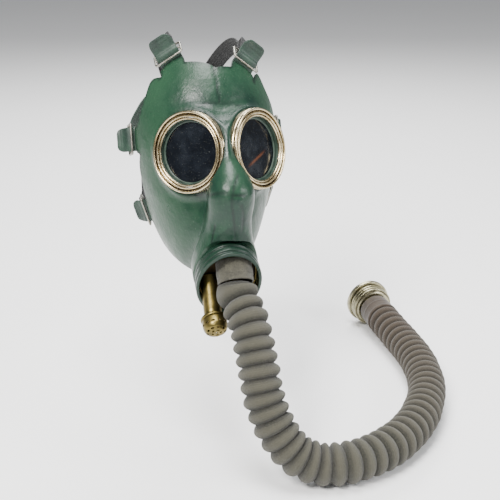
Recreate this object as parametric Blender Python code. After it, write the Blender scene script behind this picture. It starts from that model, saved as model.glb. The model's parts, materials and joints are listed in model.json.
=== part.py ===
"""Full face respirator: rubber facepiece, two round eyepieces, valve box, breathing hose, head harness.

Metres, +Z up. The wearer looks along -Y and the origin is the middle of the head at eye level. The mask
is modelled upright in its own frame and then leans back by MASK_TILT; the hose is modelled in the world
frame, because it hangs from the mask and lies on the surface in front of the wearer.
"""

import math

import bmesh
import bpy
import numpy as np
from mathutils import Matrix, Quaternion, Vector

MM = 0.001
GAP = 0.3 * MM

# Whole mask
MASK_TILT = math.radians(-18)

# Facepiece: the outer rubber surface is a smooth blend of a few simple forms
HEAD_CENTRE = Vector((-5.5, -1, 18)) * MM
HEAD_RADII = Vector((72, 90, 108)) * MM
JAW_CENTRE = Vector((-8, -22, -53)) * MM
JAW_RADII = Vector((50, 66, 66)) * MM
JAW_BLEND = 20 * MM
BRIDGE = Vector((0, -98, 12)) * MM
BRIDGE_RADIUS = 9 * MM
NOSE = Vector((0, -112, -40)) * MM
NOSE_RADIUS = 15 * MM
NOSE_BLEND = 16 * MM
MUZZLE_END_RADIUS = 27 * MM
MUZZLE_BLEND = 22 * MM
COLLAR_BLEND = 9 * MM
RUBBER = 2.0 * MM
FACE_HUB = Vector((-4, -48, -50)) * MM
NET_STEPS = 200

# The columns of the net crowd towards the top of the collar and the bottom of the free edge, so that they
# run straight from one to the other
COLLAR_WARP = 0.45
EDGE_WARP = 0.35
ROWS_FACE = 14
COLUMNS = 64

# Collar that holds the valve box: an oval tube, its axis forward and down
COLLAR_CENTRE = Vector((-5, -99.2, -120.5)) * MM
COLLAR_DROP = math.radians(41)
COLLAR_HALF_WIDTH = 30 * MM
COLLAR_OVAL = 1.3
COLLAR_WALL = 2.8 * MM
COLLAR_DEPTH = 17 * MM
RIB_HEIGHT = 1.0 * MM
COLLAR_STEP = 1.2 * MM
COLLAR_FILLET = 3 * MM

# Eyepieces
EYE_X = 34.6 * MM
EYE_Y = -92 * MM
EYE_SPLAY = math.radians(40)
EYE_RING_RADIUS = 37 * MM
EYE_SEAT_DEPTH = 9.4 * MM
EYE_HOLE_RADIUS = 31.6 * MM
EYE_BLEND = 9 * MM
EYE_BOSS_REACH = 36 * MM
CUT_DEPTH = 24 * MM

# Valve box: places along the collar's axis, from the plane of its mouth
BOX_BACK = -15.8 * MM
BOX_FLOOR = -14 * MM
BOX_LIP = -9.5 * MM

# Ports of the valve box: place in the mouth of the collar (right, up) and lean forward of straight down
HOSE_PORT = (5.0 * MM, 7.2 * MM, math.radians(20))
HOSE_PORT_RADIUS = 14.5 * MM
EXHALE_PORT = (-15.8 * MM, -12.8 * MM, math.radians(15))
EXHALE_RADIUS = 8.2 * MM
EXHALE_LENGTH = 16 * MM
CAP_TURN = math.radians(26)
CAP_SIDE = math.radians(0)

# Hose, in the world frame: route of its centreline from the port to the union nut
HOSE_DIAMETER = 38 * MM
HOSE_RADIUS = HOSE_DIAMETER / 2
CUFF_RADIUS = 16.6 * MM
HOSE_ROUTE = [
    (6, -166, -108), (9, -186, -135.5), (12, -202, -164), (21, -215, -189), (36, -224, -208),
    (56, -229, -216.5), (77, -231, -217), (97, -227, -217), (118, -218, -217), (140, -203, -217),
    (163, -180, -217), (181, -154, -217), (195, -127, -217), (204, -97, -217), (209, -66, -217),
    (210, -36, -217), (209, -8, -216.5), (206, 30, -213.5),
]
HOSE_POINTS = 48
CUFF_START = -15.5 * MM

# Harness
TAB_WIDTH = 23 * MM
TAB_THICK = 1.8 * MM
WIRE_RADIUS = 1.1 * MM
BUCKLE_WIDTH = 28 * MM
BUCKLE_LENGTH = 16 * MM
BUCKLE_MIDDLE = 8 * MM
STRAP_WIDTH = 17 * MM
STRAP_THICK = 1.6 * MM
STRAP_END_LENGTH = 16 * MM
STRAP_CLEARANCE = 4 * MM
STRAP_LEAD = 14 * MM
PAD_RISE = math.radians(33)
PAD_HALF = (36 * MM, 27 * MM)
PAD_THICK = 2.4 * MM

# name, middle of the mask edge under the buckle (mask frame, mm), place of the strap on the rear pad,
# turn of the tab about the outward normal in degrees, lift of its free end
TABS = [
    ("forehead_L", (-39, -59, 86), (-20, 16), -22, 12),
    ("forehead_R", (31, -68, 82), (20, 16), 14, 12),
    ("temple_L", (-75, -29, 19), (-27, 0), 34, 6),
    ("temple_R", (75, -22, 22), (27, 0), -34, -1),
    ("cheek_L", (-65, -7, -52), (-20, -16), 34, 5),
    ("cheek_R", (62, -5, -52), (20, -16), -34, -1),
]

# Free edge of one half of the mask, from the middle of the forehead to under the chin (mask frame, mm),
# measured sideways from EDGE_MIDDLE. Each side also passes round the lobes that carry the tabs.
EDGE_MIDDLE = Vector((-6.5, 0, 0)) * MM
EDGE_TOP = (0, -77, 78)
EDGE_TEMPLE_TOP = [(47, -47, 63), (54.5, -44, 47)]
EDGE_CHEEK = [(63.5, -30, -8), (62, -24, -23)]
EDGE_JAW = [(52.5, -8, -68), (46.5, -20, -82), (38, -34, -96), (25, -42, -108), (11, -45, -115)]
EDGE_CHIN = (-6.5, -46, -117)


# ---------------------------------------------------------------- materials

def material(name, colour, roughness, metallic=0.0, alpha=1.0):
    """A Principled material of one colour."""
    found = bpy.data.materials.get(name)
    if found:
        return found
    made = bpy.data.materials.new(name)
    made.use_nodes = True
    shader = made.node_tree.nodes["Principled BSDF"]
    shader.inputs["Base Color"].default_value = (*colour, 1.0)
    shader.inputs["Roughness"].default_value = roughness
    shader.inputs["Metallic"].default_value = metallic
    shader.inputs["Alpha"].default_value = alpha
    return made


def green_rubber():
    return material("green_rubber", (0.045, 0.11, 0.07), 0.5)


def black_rubber():
    return material("black_rubber", (0.02, 0.02, 0.02), 0.6)


def pale_brass():
    return material("pale_brass", (0.72, 0.65, 0.48), 0.28, 1.0)


def lacquered_brass():
    return material("lacquered_brass", (0.42, 0.33, 0.12), 0.35, 1.0)


def nickel():
    return material("nickel", (0.70, 0.68, 0.58), 0.3, 1.0)


def wire_steel():
    return material("wire_steel", (0.55, 0.55, 0.52), 0.35, 1.0)


def dark_glass():
    return material("dark_glass", (0.03, 0.04, 0.05), 0.08, 0.0, 0.6)


def valve_mica():
    return material("valve_mica", (0.55, 0.42, 0.22), 0.3)


def hose_cloth():
    return material("hose_cloth", (0.13, 0.12, 0.09), 0.9)


def dark_elastic():
    return material("dark_elastic", (0.03, 0.03, 0.03), 0.85)


def green_elastic():
    return material("green_elastic", (0.06, 0.12, 0.08), 0.8)


# ---------------------------------------------------------------- mesh helpers

def empty(name, matrix, parent=None):
    """A frame that other pieces are placed in."""
    made = bpy.data.objects.new(name, None)
    bpy.context.collection.objects.link(made)
    made.parent = parent
    made.matrix_basis = matrix
    return made


def mesh_object(name, verts, faces, look, parent=None, matrix=None, smooth=35):
    """One closed body, its faces turned outward and shaded smooth up to an angle in degrees."""
    mesh = bpy.data.meshes.new(name)
    mesh.from_pydata([tuple(v) for v in verts], [], faces)
    work = bmesh.new()
    work.from_mesh(mesh)
    bmesh.ops.recalc_face_normals(work, faces=work.faces)
    work.to_mesh(mesh)
    work.free()
    mesh.shade_smooth()
    mesh.set_sharp_from_angle(angle=math.radians(smooth))
    mesh.materials.append(look)
    made = bpy.data.objects.new(name, mesh)
    bpy.context.collection.objects.link(made)
    made.parent = parent
    if matrix is not None:
        made.matrix_basis = matrix
    return made


def turned(name, profile, look, parent=None, matrix=None, segments=32, oval=1.0):
    """A solid of revolution about Z from a closed outline of (radius, z); radius 0 is the axis."""
    verts, rings = [], []
    for radius, z in profile:
        if radius == 0:
            rings.append([len(verts)] * segments)
            verts.append((0, 0, z))
            continue
        rings.append(list(range(len(verts), len(verts) + segments)))
        for step in range(segments):
            angle = 2 * math.pi * step / segments
            verts.append((radius * math.sin(angle), oval * radius * math.cos(angle), z))
    faces = []
    for low, high in zip(rings, rings[1:] + rings[:1]):
        if low[0] == low[1] and high[0] == high[1]:
            continue
        for a in range(segments):
            b = (a + 1) % segments
            corners = [low[a], low[b], high[b], high[a]]
            faces.append(list(dict.fromkeys(corners)))
    return mesh_object(name, verts, faces, look, parent, matrix)


def frames_along(path):
    """Right, up and forward axes at each point of a path, turned as little as possible."""
    tangents = [(b - a).normalized() for a, b in zip(path, path[1:])]
    tangents = [tangents[0]] + [(a + b).normalized() for a, b in zip(tangents, tangents[1:])] + [tangents[-1]]
    side = tangents[0].orthogonal().normalized()
    frames = []
    for forward in tangents:
        side = (side - forward * side.dot(forward)).normalized()
        frames.append((side, forward.cross(side), forward))
    return frames


def pipe(name, path, outer, inner, look, parent=None, segments=32):
    """A hollow tube of constant section along a path, open at both ends."""
    verts = []
    for radius in (outer, inner):
        for point, (side, up, _) in zip(path, frames_along(path)):
            for step in range(segments):
                angle = 2 * math.pi * step / segments
                verts.append(point + radius * (math.cos(angle) * side + math.sin(angle) * up))
    count = len(path)
    faces = []
    for a in range(segments):
        b = (a + 1) % segments
        for shell in (0, count):
            for row in range(shell, shell + count - 1):
                low, high = row * segments, (row + 1) * segments
                faces.append((low + a, low + b, high + b, high + a))
        for row in (0, count - 1):
            out, into = row * segments, (row + count) * segments
            faces.append((out + a, out + b, into + b, into + a))
    return mesh_object(name, verts, faces, look, parent)


def wire_loop(name, path, radius, look, parent=None, sides=8):
    """A round wire bent into a closed loop."""
    verts, count = [], len(path)
    normal = (path[1] - path[0]).cross(path[count // 2] - path[0]).normalized()
    for index, point in enumerate(path):
        forward = (path[(index + 1) % count] - path[index - 1]).normalized()
        side = forward.cross(normal).normalized()
        up = side.cross(forward)
        for step in range(sides):
            angle = 2 * math.pi * step / sides
            verts.append(point + radius * (math.cos(angle) * side + math.sin(angle) * up))
    faces = []
    for row in range(count):
        low, high = row * sides, (row + 1) % count * sides
        for a in range(sides):
            b = (a + 1) % sides
            faces.append((low + a, low + b, high + b, high + a))
    return mesh_object(name, verts, faces, look, parent, smooth=60)


def ribbon(name, path, normals, widths, thick, look, parent=None, matrix=None):
    """A flat strip along a path, its upper face on the normals' side."""
    verts = []
    count = len(path)
    for index, (point, normal, width) in enumerate(zip(path, normals, widths)):
        forward = (path[min(index + 1, count - 1)] - path[max(index - 1, 0)]).normalized()
        side = forward.cross(normal).normalized()
        up = side.cross(forward).normalized()
        for across, lift in ((-1, -1), (1, -1), (1, 1), (-1, 1)):
            verts.append(point + side * across * width / 2 + up * lift * thick / 2)
    faces = [(0, 1, 2, 3), tuple(range(4 * count - 4, 4 * count))]
    for row in range(count - 1):
        for a in range(4):
            b = (a + 1) % 4
            faces.append((4 * row + a, 4 * row + b, 4 * row + 4 + b, 4 * row + 4 + a))
    return mesh_object(name, verts, faces, look, parent, matrix)


def cut(target, cutter, solver="EXACT"):
    """Take the cutter's volume out of the target."""
    cutter.hide_render = True
    cutter.display_type = "WIRE"
    step = target.modifiers.new("cut_" + cutter.name, "BOOLEAN")
    step.operation = "DIFFERENCE"
    step.solver = solver
    step.object = cutter


def smooth_curve(points, count):
    """Points at equal distances along a smooth curve through the given ones."""
    points = [Vector(p) for p in points]
    ends = [2 * points[0] - points[1]] + points + [2 * points[-1] - points[-2]]
    dense = []
    for before, start, end, after in zip(ends, ends[1:], ends[2:], ends[3:]):
        for step in range(24):
            t = step / 24
            bend = (2 * before - 5 * start + 4 * end - after) * t * t
            twist = (3 * start - before - 3 * end + after) * t ** 3
            dense.append(start + 0.5 * ((end - before) * t + bend + twist))
    dense.append(points[-1])
    travelled = [0.0]
    for a, b in zip(dense, dense[1:]):
        travelled.append(travelled[-1] + (b - a).length)
    wanted = np.linspace(0, travelled[-1], count)
    columns = [np.interp(wanted, travelled, [p[axis] for p in dense]) for axis in range(3)]
    return [Vector(p) for p in zip(*columns)]


# ---------------------------------------------------------------- the rubber surface

def collar_axes():
    """Right, up and outward directions of the collar, in the mask frame."""
    outward = Vector((0, -math.cos(COLLAR_DROP), -math.sin(COLLAR_DROP)))
    up = Vector((0, -math.sin(COLLAR_DROP), math.cos(COLLAR_DROP)))
    return Vector((1, 0, 0)), up, outward


def unit(vectors):
    return vectors / np.linalg.norm(vectors, axis=-1, keepdims=True)


def swing(start, end, share):
    """Vectors turned and stretched evenly from one set to another."""
    angle = np.arccos(np.clip(np.sum(unit(start) * unit(end), axis=-1, keepdims=True), -1, 1))
    angle = np.maximum(angle, 1e-6)
    way = (unit(start) * np.sin((1 - share) * angle) + unit(end) * np.sin(share * angle)) / np.sin(angle)
    lengths = [np.linalg.norm(v, axis=-1, keepdims=True) for v in (start, end)]
    return way * (lengths[0] * (1 - share) + lengths[1] * share)


def eye_normal(side):
    return Vector((side * math.sin(EYE_SPLAY), -math.cos(EYE_SPLAY), 0))


def blend(a, b, width):
    """Union of two distance fields, rounded where they meet."""
    near = np.maximum(width - np.abs(a - b), 0) / width
    return np.minimum(a, b) - near * near * width / 4


def ellipsoid(p, centre, radii):
    q = p - np.array(centre)
    k0 = np.linalg.norm(q / np.array(radii), axis=-1)
    k1 = np.linalg.norm(q / np.array(radii) ** 2, axis=-1)
    return k0 * (k0 - 1) / np.maximum(k1, 1e-9)


def limb(p, start, end, start_radius, end_radius):
    """A round cone between two points."""
    a, along = np.array(start), np.array(end - start)
    t = np.clip((p - a) @ along / (along @ along), 0, 1)
    return np.linalg.norm(p - a - t[..., None] * along, axis=-1) - start_radius - t * (end_radius - start_radius)


def eye_place(p, side):
    """Height of a point along the axis of one eyepiece, and its distance from that axis."""
    normal = np.array(eye_normal(side))
    q = p - np.array((side * EYE_X, EYE_Y, 0))
    height = q @ normal
    return height, np.linalg.norm(q - height[..., None] * normal, axis=-1)


def eye_boss(p, side):
    """The flat round seat under one eyepiece."""
    height, radius = eye_place(p, side)
    side_wall = radius - EYE_RING_RADIUS - 1.5 * MM
    return np.maximum(side_wall, np.maximum(height + EYE_SEAT_DEPTH, -height - EYE_BOSS_REACH))


def collar_tube(p):
    """The oval tube of the collar, from behind its ribs to inside the muzzle."""
    right, up, outward = [np.array(axis) for axis in collar_axes()]
    q = p - np.array(COLLAR_CENTRE)
    radius = np.hypot(q @ right, q @ up / COLLAR_OVAL)
    depth = -(q @ outward)
    around = radius - COLLAR_HALF_WIDTH + COLLAR_STEP
    return np.maximum(around, np.maximum(COLLAR_DEPTH - 6 * MM - depth, depth - COLLAR_DEPTH - 14 * MM))


def face_field(p):
    """Distance field of the outer rubber surface behind the collar, negative inside."""
    _, _, outward = collar_axes()
    root = COLLAR_CENTRE - outward * COLLAR_DEPTH
    d = ellipsoid(p, HEAD_CENTRE, HEAD_RADII)
    d = blend(d, ellipsoid(p, JAW_CENTRE, JAW_RADII), JAW_BLEND)
    d = blend(d, limb(p, BRIDGE, NOSE, BRIDGE_RADIUS, NOSE_RADIUS), NOSE_BLEND)
    d = blend(d, limb(p, NOSE, root, NOSE_RADIUS, MUZZLE_END_RADIUS), MUZZLE_BLEND)
    d = blend(d, collar_tube(p), COLLAR_BLEND)
    for side in (-1, 1):
        d = blend(d, eye_boss(p, side), EYE_BLEND)
    return d


def field_normal(p):
    """Outward direction of the rubber surface."""
    step = 0.2 * MM
    slopes = []
    for axis in range(3):
        shift = np.zeros(3)
        shift[axis] = step
        slopes.append(face_field(p + shift) - face_field(p - shift))
    normal = np.stack(slopes, axis=-1)
    return normal / np.linalg.norm(normal, axis=-1, keepdims=True)


def outward_hit(origins, directions):
    """Where rays that start inside meet the rubber surface."""
    reach = np.linspace(0, 0.17, 180)
    inside = face_field(origins[:, None] + directions[:, None] * reach[None, :, None]) < 0
    last = np.minimum(len(reach) - 2, len(reach) - 1 - np.argmax(inside[:, ::-1], axis=1))
    low, high = reach[last], reach[last + 1]
    for _ in range(24):
        middle = (low + high) / 2
        within = face_field(origins + directions * middle[:, None]) < 0
        low, high = np.where(within, middle, low), np.where(within, high, middle)
    return origins + directions * high[:, None]


def on_head(direction, lift=0.0):
    """Point above the head and rubber in a direction from the middle of the head, and its outward normal."""
    way = np.array(Vector(direction).normalized())[None]
    skin = outward_hit(np.array(HEAD_CENTRE)[None], way)
    normal = Vector(field_normal(skin)[0])
    return Vector(skin[0]) + normal * lift, normal


# ---------------------------------------------------------------- harness layout

def tab_frame(spec):
    """Matrix of one tab: X across, Y away from the mask along the strap, Z out from the head."""
    _, edge, pad_spot, turn, _ = spec
    direction = Vector(edge) * MM - HEAD_CENTRE
    point, normal = on_head(direction)
    target = pad_point(pad_spot)
    along = target - point
    along = (along - normal * along.dot(normal)).normalized()
    along = Quaternion(normal, math.radians(turn)) @ along
    across = along.cross(normal)
    return Matrix.Translation(point) @ Matrix((across, along, normal)).transposed().to_4x4()


def pad_point(spot):
    """Place on the rear pad from (sideways, upward) millimetres."""
    angle = PAD_RISE + spot[1] * MM / HEAD_RADII.z
    return on_head((spot[0] * MM, HEAD_RADII.y * math.cos(angle), HEAD_RADII.z * math.sin(angle)))[0]


def edge_outline():
    """Closed outline of the free edge, clockwise from the middle of the forehead as the wearer faces out."""
    halves = {}
    for side, letter in ((1, "R"), (-1, "L")):
        tabs = [spec for spec in TABS if spec[0].endswith(letter)]
        stretches = [[], EDGE_TEMPLE_TOP, EDGE_CHEEK, EDGE_JAW]
        half = []
        for stretch, spec in zip(stretches, tabs + [None]):
            half += [EDGE_MIDDLE + Vector((side * x, y, z)) * MM for x, y, z in stretch]
            if spec:
                half += lobe(spec, side)
        halves[side] = half
    outline = [Vector(EDGE_TOP) * MM] + halves[1] + [Vector(EDGE_CHIN) * MM] + halves[-1][::-1]
    return outline


def lobe(spec, side):
    """Corner points of the lobe under one tab, from the forehead side to the chin side."""
    matrix = tab_frame(spec)
    half = TAB_WIDTH / 2
    corners = [(-half - 2 * MM, -7 * MM), (-half, 0), (half, 0), (half + 2 * MM, -7 * MM)]
    points = [matrix @ Vector((x, y, 0)) for x, y in corners]
    if (points[0] - Vector(EDGE_TOP) * MM).length > (points[-1] - Vector(EDGE_TOP) * MM).length:
        points.reverse()
    return points


# ---------------------------------------------------------------- facepiece

def collar_rows():
    """Axial place and outer swell of each ring of the collar, from the mouth inward."""
    rows = [(0.0, 0.0), (3.0, 0.0), (4.0, -RIB_HEIGHT), (5.2, 0.0), (9.4, 0.0), (10.4, -RIB_HEIGHT)]
    rows += [(11.6, 0.0)]
    return [(depth * MM, swell) for depth, swell in rows] + [(COLLAR_DEPTH, -COLLAR_STEP)]


def face_net(root, edge):
    """Rings of points on the skin between the collar and the free edge, evened out over the surface."""
    hub = np.array(FACE_HUB)
    rings = [root]
    for row in range(1, ROWS_FACE + 1):
        ways = swing(root - hub, edge - hub, row / ROWS_FACE)
        rings.append(outward_hit(np.tile(hub, (COLUMNS, 1)), unit(ways)))
    net = np.array(rings)
    for _ in range(NET_STEPS):
        inside = net[1:-1]
        across = np.roll(inside, 1, axis=1) + np.roll(inside, -1, axis=1)
        inside = inside * 0.2 + (net[2:] + net[:-2] + across) * 0.2
        net[1:-1] = inside - field_normal(inside) * face_field(inside)[..., None]
    return net[1:]


def build_facepiece(parent):
    """The rubber shell: ribbed collar, muzzle, cheeks and forehead, with two holes for the eyepieces."""
    right, up, outward = collar_axes()
    turns = np.arange(COLUMNS) * 2 * np.pi / COLUMNS
    angles = turns - COLLAR_WARP * np.sin(turns)
    oval = np.array([right * math.sin(a) + up * math.cos(a) * COLLAR_OVAL for a in angles])
    centre, axis = np.array(COLLAR_CENTRE), np.array(outward)
    outer, inner = [], []
    for depth, swell in collar_rows():
        outer.append(centre - axis * depth + oval * (COLLAR_HALF_WIDTH + swell))
        inner.append(centre - axis * depth + oval * (COLLAR_HALF_WIDTH - COLLAR_WALL))
    inner[-1] -= axis * COLLAR_FILLET
    outline = edge_outline()
    dense = np.array([list(p) for p in smooth_curve(outline + outline[:1], 40 * COLUMNS + 1)])
    picked = np.rint(40 * COLUMNS * (turns + EDGE_WARP * np.sin(turns)) / (2 * np.pi)).astype(int)
    edge = dense[picked]
    for skin in face_net(outer[-1], edge):
        outer.append(skin)
        inner.append(skin - field_normal(skin) * RUBBER)
    rows = outer + inner[::-1]
    verts = [Vector(p) for row in rows for p in row]
    faces = []
    for row in range(len(rows)):
        low, high = row * COLUMNS, (row + 1) % len(rows) * COLUMNS
        for a in range(COLUMNS):
            b = (a + 1) % COLUMNS
            faces.append((low + a, low + b, high + b, high + a))
    shell = mesh_object("facepiece", verts, faces, green_rubber(), parent, smooth=50)
    for side, letter in ((-1, "L"), (1, "R")):
        seat, ring = GAP / 2 - EYE_SEAT_DEPTH, EYE_RING_RADIUS + GAP
        bore = [
            (0, -CUT_DEPTH), (EYE_HOLE_RADIUS, -CUT_DEPTH), (EYE_HOLE_RADIUS, seat), (ring, seat),
            (ring, CUT_DEPTH), (0, CUT_DEPTH),
        ]
        cutter = turned("cutter_eye_" + letter, bore, green_rubber(), parent, eye_matrix(side), 32)
        cut(shell, cutter, "MANIFOLD")
    return shell


def eye_matrix(side):
    """Frame of one eyepiece: Z out along the line of sight, origin in the front plane of the ring."""
    normal = eye_normal(side)
    up = Vector((0, 0, 1))
    across = up.cross(normal)
    return Matrix.Translation((side * EYE_X, EYE_Y, 0)) @ Matrix((across, up, normal)).transposed().to_4x4()


def build_eyepiece(side, letter, parent):
    """Crimped outer ring, inner ring, gasket, glass and the retaining ring behind it."""
    frame = empty("eye_frame_" + letter, eye_matrix(side), parent)
    outer_ring = [
        (31.2, -7.0), (31.2, -1.8), (32.2, -1.0), (33.4, -2.0), (34.2, -0.6), (35.9, -0.3), (37.0, -2.2),
        (36.4, -3.4), (37.0, -4.6), (37.0, -9.1), (35.0, -9.1), (35.0, -7.0),
    ]
    inner_ring = [(29.0, -6.8), (28.6, -2.9), (29.1, -2.0), (30.1, -1.7), (30.9, -2.4), (30.9, -6.8)]
    gasket = [(26.9, -8.4), (26.9, -7.6), (27.6, -7.1), (30.8, -7.1), (30.8, -8.4)]
    glass = [(0, -10.7), (30.5, -10.7), (30.5, -8.7), (0, -8.7)]
    keeper = [(27.4, -13.4), (27.4, -11.0), (30.6, -11.0), (30.6, -12.2), (29.4, -13.4)]
    pieces = [
        ("eye_ring", outer_ring, pale_brass()), ("eye_inner_ring", inner_ring, pale_brass()),
        ("eye_gasket", gasket, black_rubber()), ("eye_glass", glass, dark_glass()),
        ("eye_keeper", keeper, black_rubber()),
    ]
    for name, profile, look in pieces:
        outline = [(r * MM, z * MM) for r, z in profile]
        turned(name + "_" + letter, outline, look, frame, segments=32)


# ---------------------------------------------------------------- valve box

def port_direction(port):
    """Outward direction of a port, in the mask frame."""
    return Vector((0, -math.sin(port[2]), -math.cos(port[2])))


def port_point(port, along=0.0):
    """Point on a port's axis, measured from where it crosses the plane of the collar's mouth."""
    right, up, _ = collar_axes()
    return COLLAR_CENTRE + right * port[0] + up * port[1] + port_direction(port) * along


def looking_along(point, direction):
    """Matrix with its origin at a point and Z along a direction."""
    return Matrix.Translation(point) @ direction.to_track_quat("Z", "Y").to_matrix().to_4x4()


def build_valve_box(parent):
    """The oval metal cup that fills the collar, with holes for its two ports."""
    right, up, outward = collar_axes()
    turn = Matrix((right, up, outward)).transposed().to_4x4()
    wide = COLLAR_HALF_WIDTH - COLLAR_WALL - GAP
    wall, centre = 1.0 * MM, 0.5 * MM
    cup = [
        (centre, BOX_BACK), (wide, BOX_BACK), (wide, BOX_LIP), (wide - wall, BOX_LIP),
        (wide - wall, BOX_FLOOR), (centre, BOX_FLOOR),
    ]
    box = turned(
        "valve_box", cup, lacquered_brass(), parent, Matrix.Translation(COLLAR_CENTRE) @ turn, 40,
        COLLAR_OVAL,
    )
    for name, port, radius in (("hose", HOSE_PORT, HOSE_PORT_RADIUS), ("exhale", EXHALE_PORT, EXHALE_RADIUS)):
        bore = [(0, -60 * MM), (radius + GAP, -60 * MM), (radius + GAP, 0), (0, 0)]
        matrix = looking_along(port_point(port), port_direction(port))
        cutter = turned("cutter_" + name, bore, lacquered_brass(), parent, matrix, 24)
        cut(box, cutter)


def build_inhale_port(parent):
    """Hose port with the inhale valve: a disc that lifts off its seat towards the wearer."""
    way = port_direction(HOSE_PORT)
    inlet = [port_point(HOSE_PORT, x * MM) for x in (-26, -18, -10, -1.5)]
    pipe("inhale_port", inlet, HOSE_PORT_RADIUS, HOSE_PORT_RADIUS - 1.2 * MM, lacquered_brass(), parent)
    frame = empty("inhale_frame", looking_along(port_point(HOSE_PORT, -21 * MM), -way), parent)
    inside = HOSE_PORT_RADIUS - 1.2 * MM - GAP
    seat = [(8.5 * MM, -1.5 * MM), (inside, -1.5 * MM), (inside, 0), (8.5 * MM, 0)]
    turned("inhale_seat", seat, lacquered_brass(), frame, segments=32)
    disc = [(0, GAP), (11.5 * MM, GAP), (11.5 * MM, 1.1 * MM), (0, 1.1 * MM)]
    turned("inhale_disc", disc, valve_mica(), frame, segments=28)


def cap_direction():
    """Direction of the exhale chamber, in the mask frame: forward of the tube and a little to +X."""
    swung = EXHALE_PORT[2] + CAP_TURN
    flat = Vector((0, -math.sin(swung), -math.cos(swung)))
    return (flat * math.cos(CAP_SIDE) + Vector((1, 0, 0)) * math.sin(CAP_SIDE)).normalized()


def build_exhale_valve(parent):
    """Exhale tube, its angled chamber, the seat, the disc and the perforated cap that screws on."""
    way = cap_direction()
    elbow = port_point(EXHALE_PORT, EXHALE_LENGTH)
    path = [port_point(EXHALE_PORT, x * MM) for x in (-19, -8, 4, 10, 13)]
    path += [elbow + way * MM, elbow + way * 4 * MM]
    pipe("exhale_tube", path, EXHALE_RADIUS, EXHALE_RADIUS - 1 * MM, lacquered_brass(), parent, 24)
    frame = empty("exhale_frame", looking_along(elbow + way * 4 * MM, way), parent)
    pieces = [
        ("exhale_flange", lacquered_brass(), 32, [
            (8.0, 0.3), (10.4, 0.3), (11.8, 0.9), (12.2, 2.0), (11.8, 3.1), (10.3, 3.6), (10.3, 4.6),
            (8.0, 4.6)]),
        ("exhale_gasket", black_rubber(), 32, [(9.4, 4.9), (10.3, 4.9), (10.3, 5.7), (9.4, 5.7)]),
        ("exhale_disc", valve_mica(), 28, [(0, 4.9), (9.0, 4.9), (9.0, 5.6), (0, 5.6)]),
    ]
    for name, look, segments, profile in pieces:
        turned(name, [(r * MM, z * MM) for r, z in profile], look, frame, segments=segments)
    cap_profile = [
        (0, 16.5), (6.5, 16.2), (9.6, 14.6), (11.0, 11.5), (11.4, 8.0), (11.4, 3.95), (10.6, 3.95),
        (10.6, 8.0), (10.2, 11.2), (9.0, 13.8), (6.2, 15.3), (0, 15.6),
    ]
    cap = turned("exhale_cap", [(r * MM, z * MM) for r, z in cap_profile], lacquered_brass(), frame, segments=28)
    holes = []
    for count, ring in ((1, 0), (5, 4.0), (8, 7.6)):
        holes += [(ring * MM, 2 * math.pi * step / count) for step in range(count)]
    for index, (ring, angle) in enumerate(holes):
        bore = [(0, 11 * MM), (1.1 * MM, 11 * MM), (1.1 * MM, 19 * MM), (0, 19 * MM)]
        place = Matrix.Translation((ring * math.cos(angle), ring * math.sin(angle), 0))
        cutter = turned("cutter_cap_%02d" % index, bore, lacquered_brass(), frame, place, 6)
        cut(cap, cutter)


# ---------------------------------------------------------------- hose

def build_hose(mask):
    """Cuff at the port, the hose itself, and the cuff, nipple and union nut at its end."""
    tilt = mask.matrix_basis.to_3x3()
    start = tilt @ port_point(HOSE_PORT, CUFF_START)
    way = tilt @ port_direction(HOSE_PORT)
    cuff_path = [start + way * x * MM for x in (0, 8, 14, 19.5)]
    hose_start = start + way * 20.3 * MM
    cuff = pipe("hose_cuff", cuff_path, CUFF_RADIUS, HOSE_PORT_RADIUS + GAP, hose_cloth(), None, 32)
    floor = looking_along(tilt @ COLLAR_CENTRE, tilt @ collar_axes()[2])
    block = [(0, -60 * MM), (50 * MM, -60 * MM), (50 * MM, BOX_FLOOR + GAP), (0, BOX_FLOOR + GAP)]
    cut(cuff, turned("cutter_cuff", block, hose_cloth(), None, floor, 24))
    route = [hose_start, hose_start + way * 9 * MM] + [Vector(p) * MM for p in HOSE_ROUTE]
    route = smooth_curve(route, HOSE_POINTS)
    spline_data = bpy.data.curves.new("hose", "CURVE")
    spline_data.dimensions = "3D"
    spline_data.bevel_depth = HOSE_RADIUS
    spline_data.bevel_resolution = 4
    spline_data.use_fill_caps = True
    spline = spline_data.splines.new("POLY")
    spline.points.add(len(route) - 1)
    for point, place in zip(spline.points, route):
        point.co = (*place, 1)
    spline_data.materials.append(hose_cloth())
    hose = bpy.data.objects.new("hose", spline_data)
    bpy.context.collection.objects.link(hose)
    build_hose_end(route[-1], (route[-1] - route[-2]).normalized())


def build_hose_end(point, way):
    """Cuff, flanged nipple, gasket and union nut; Z runs along the hose, out of its end."""
    frame = empty("nut_frame", looking_along(point, way))
    pieces = [
        ("hose_end_cuff", hose_cloth(), 28, [(15.3, 0.3), (18.4, 0.3), (18.0, 5), (17.6, 26), (15.3, 26)]),
        ("nipple", nickel(), 28, [
            (13.4, 2), (15.0, 2), (15.0, 30), (20.0, 30), (20.0, 32.5), (13.4, 32.5)]),
        ("nut_gasket", black_rubber(), 28, [(14.5, 32.8), (20.0, 32.8), (20.0, 34.8), (14.5, 34.8)]),
        ("union_nut", nickel(), 32, [
            (15.6, 28.0), (19.6, 28.0), (21.4, 30.2), (20.8, 31.9), (21.7, 33.6), (21.0, 35.3), (21.9, 37.0),
            (21.2, 38.7), (22.1, 40.4), (21.5, 41.9), (25.2, 44.0), (25.5, 48.4), (24.8, 49.0), (23.0, 49.0),
            (20.6, 46.2), (20.6, 29.4), (15.6, 29.4)]),
    ]
    for name, look, segments, profile in pieces:
        turned(name, [(r * MM, z * MM) for r, z in profile], look, frame, segments=segments)


# ---------------------------------------------------------------- harness

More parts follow.
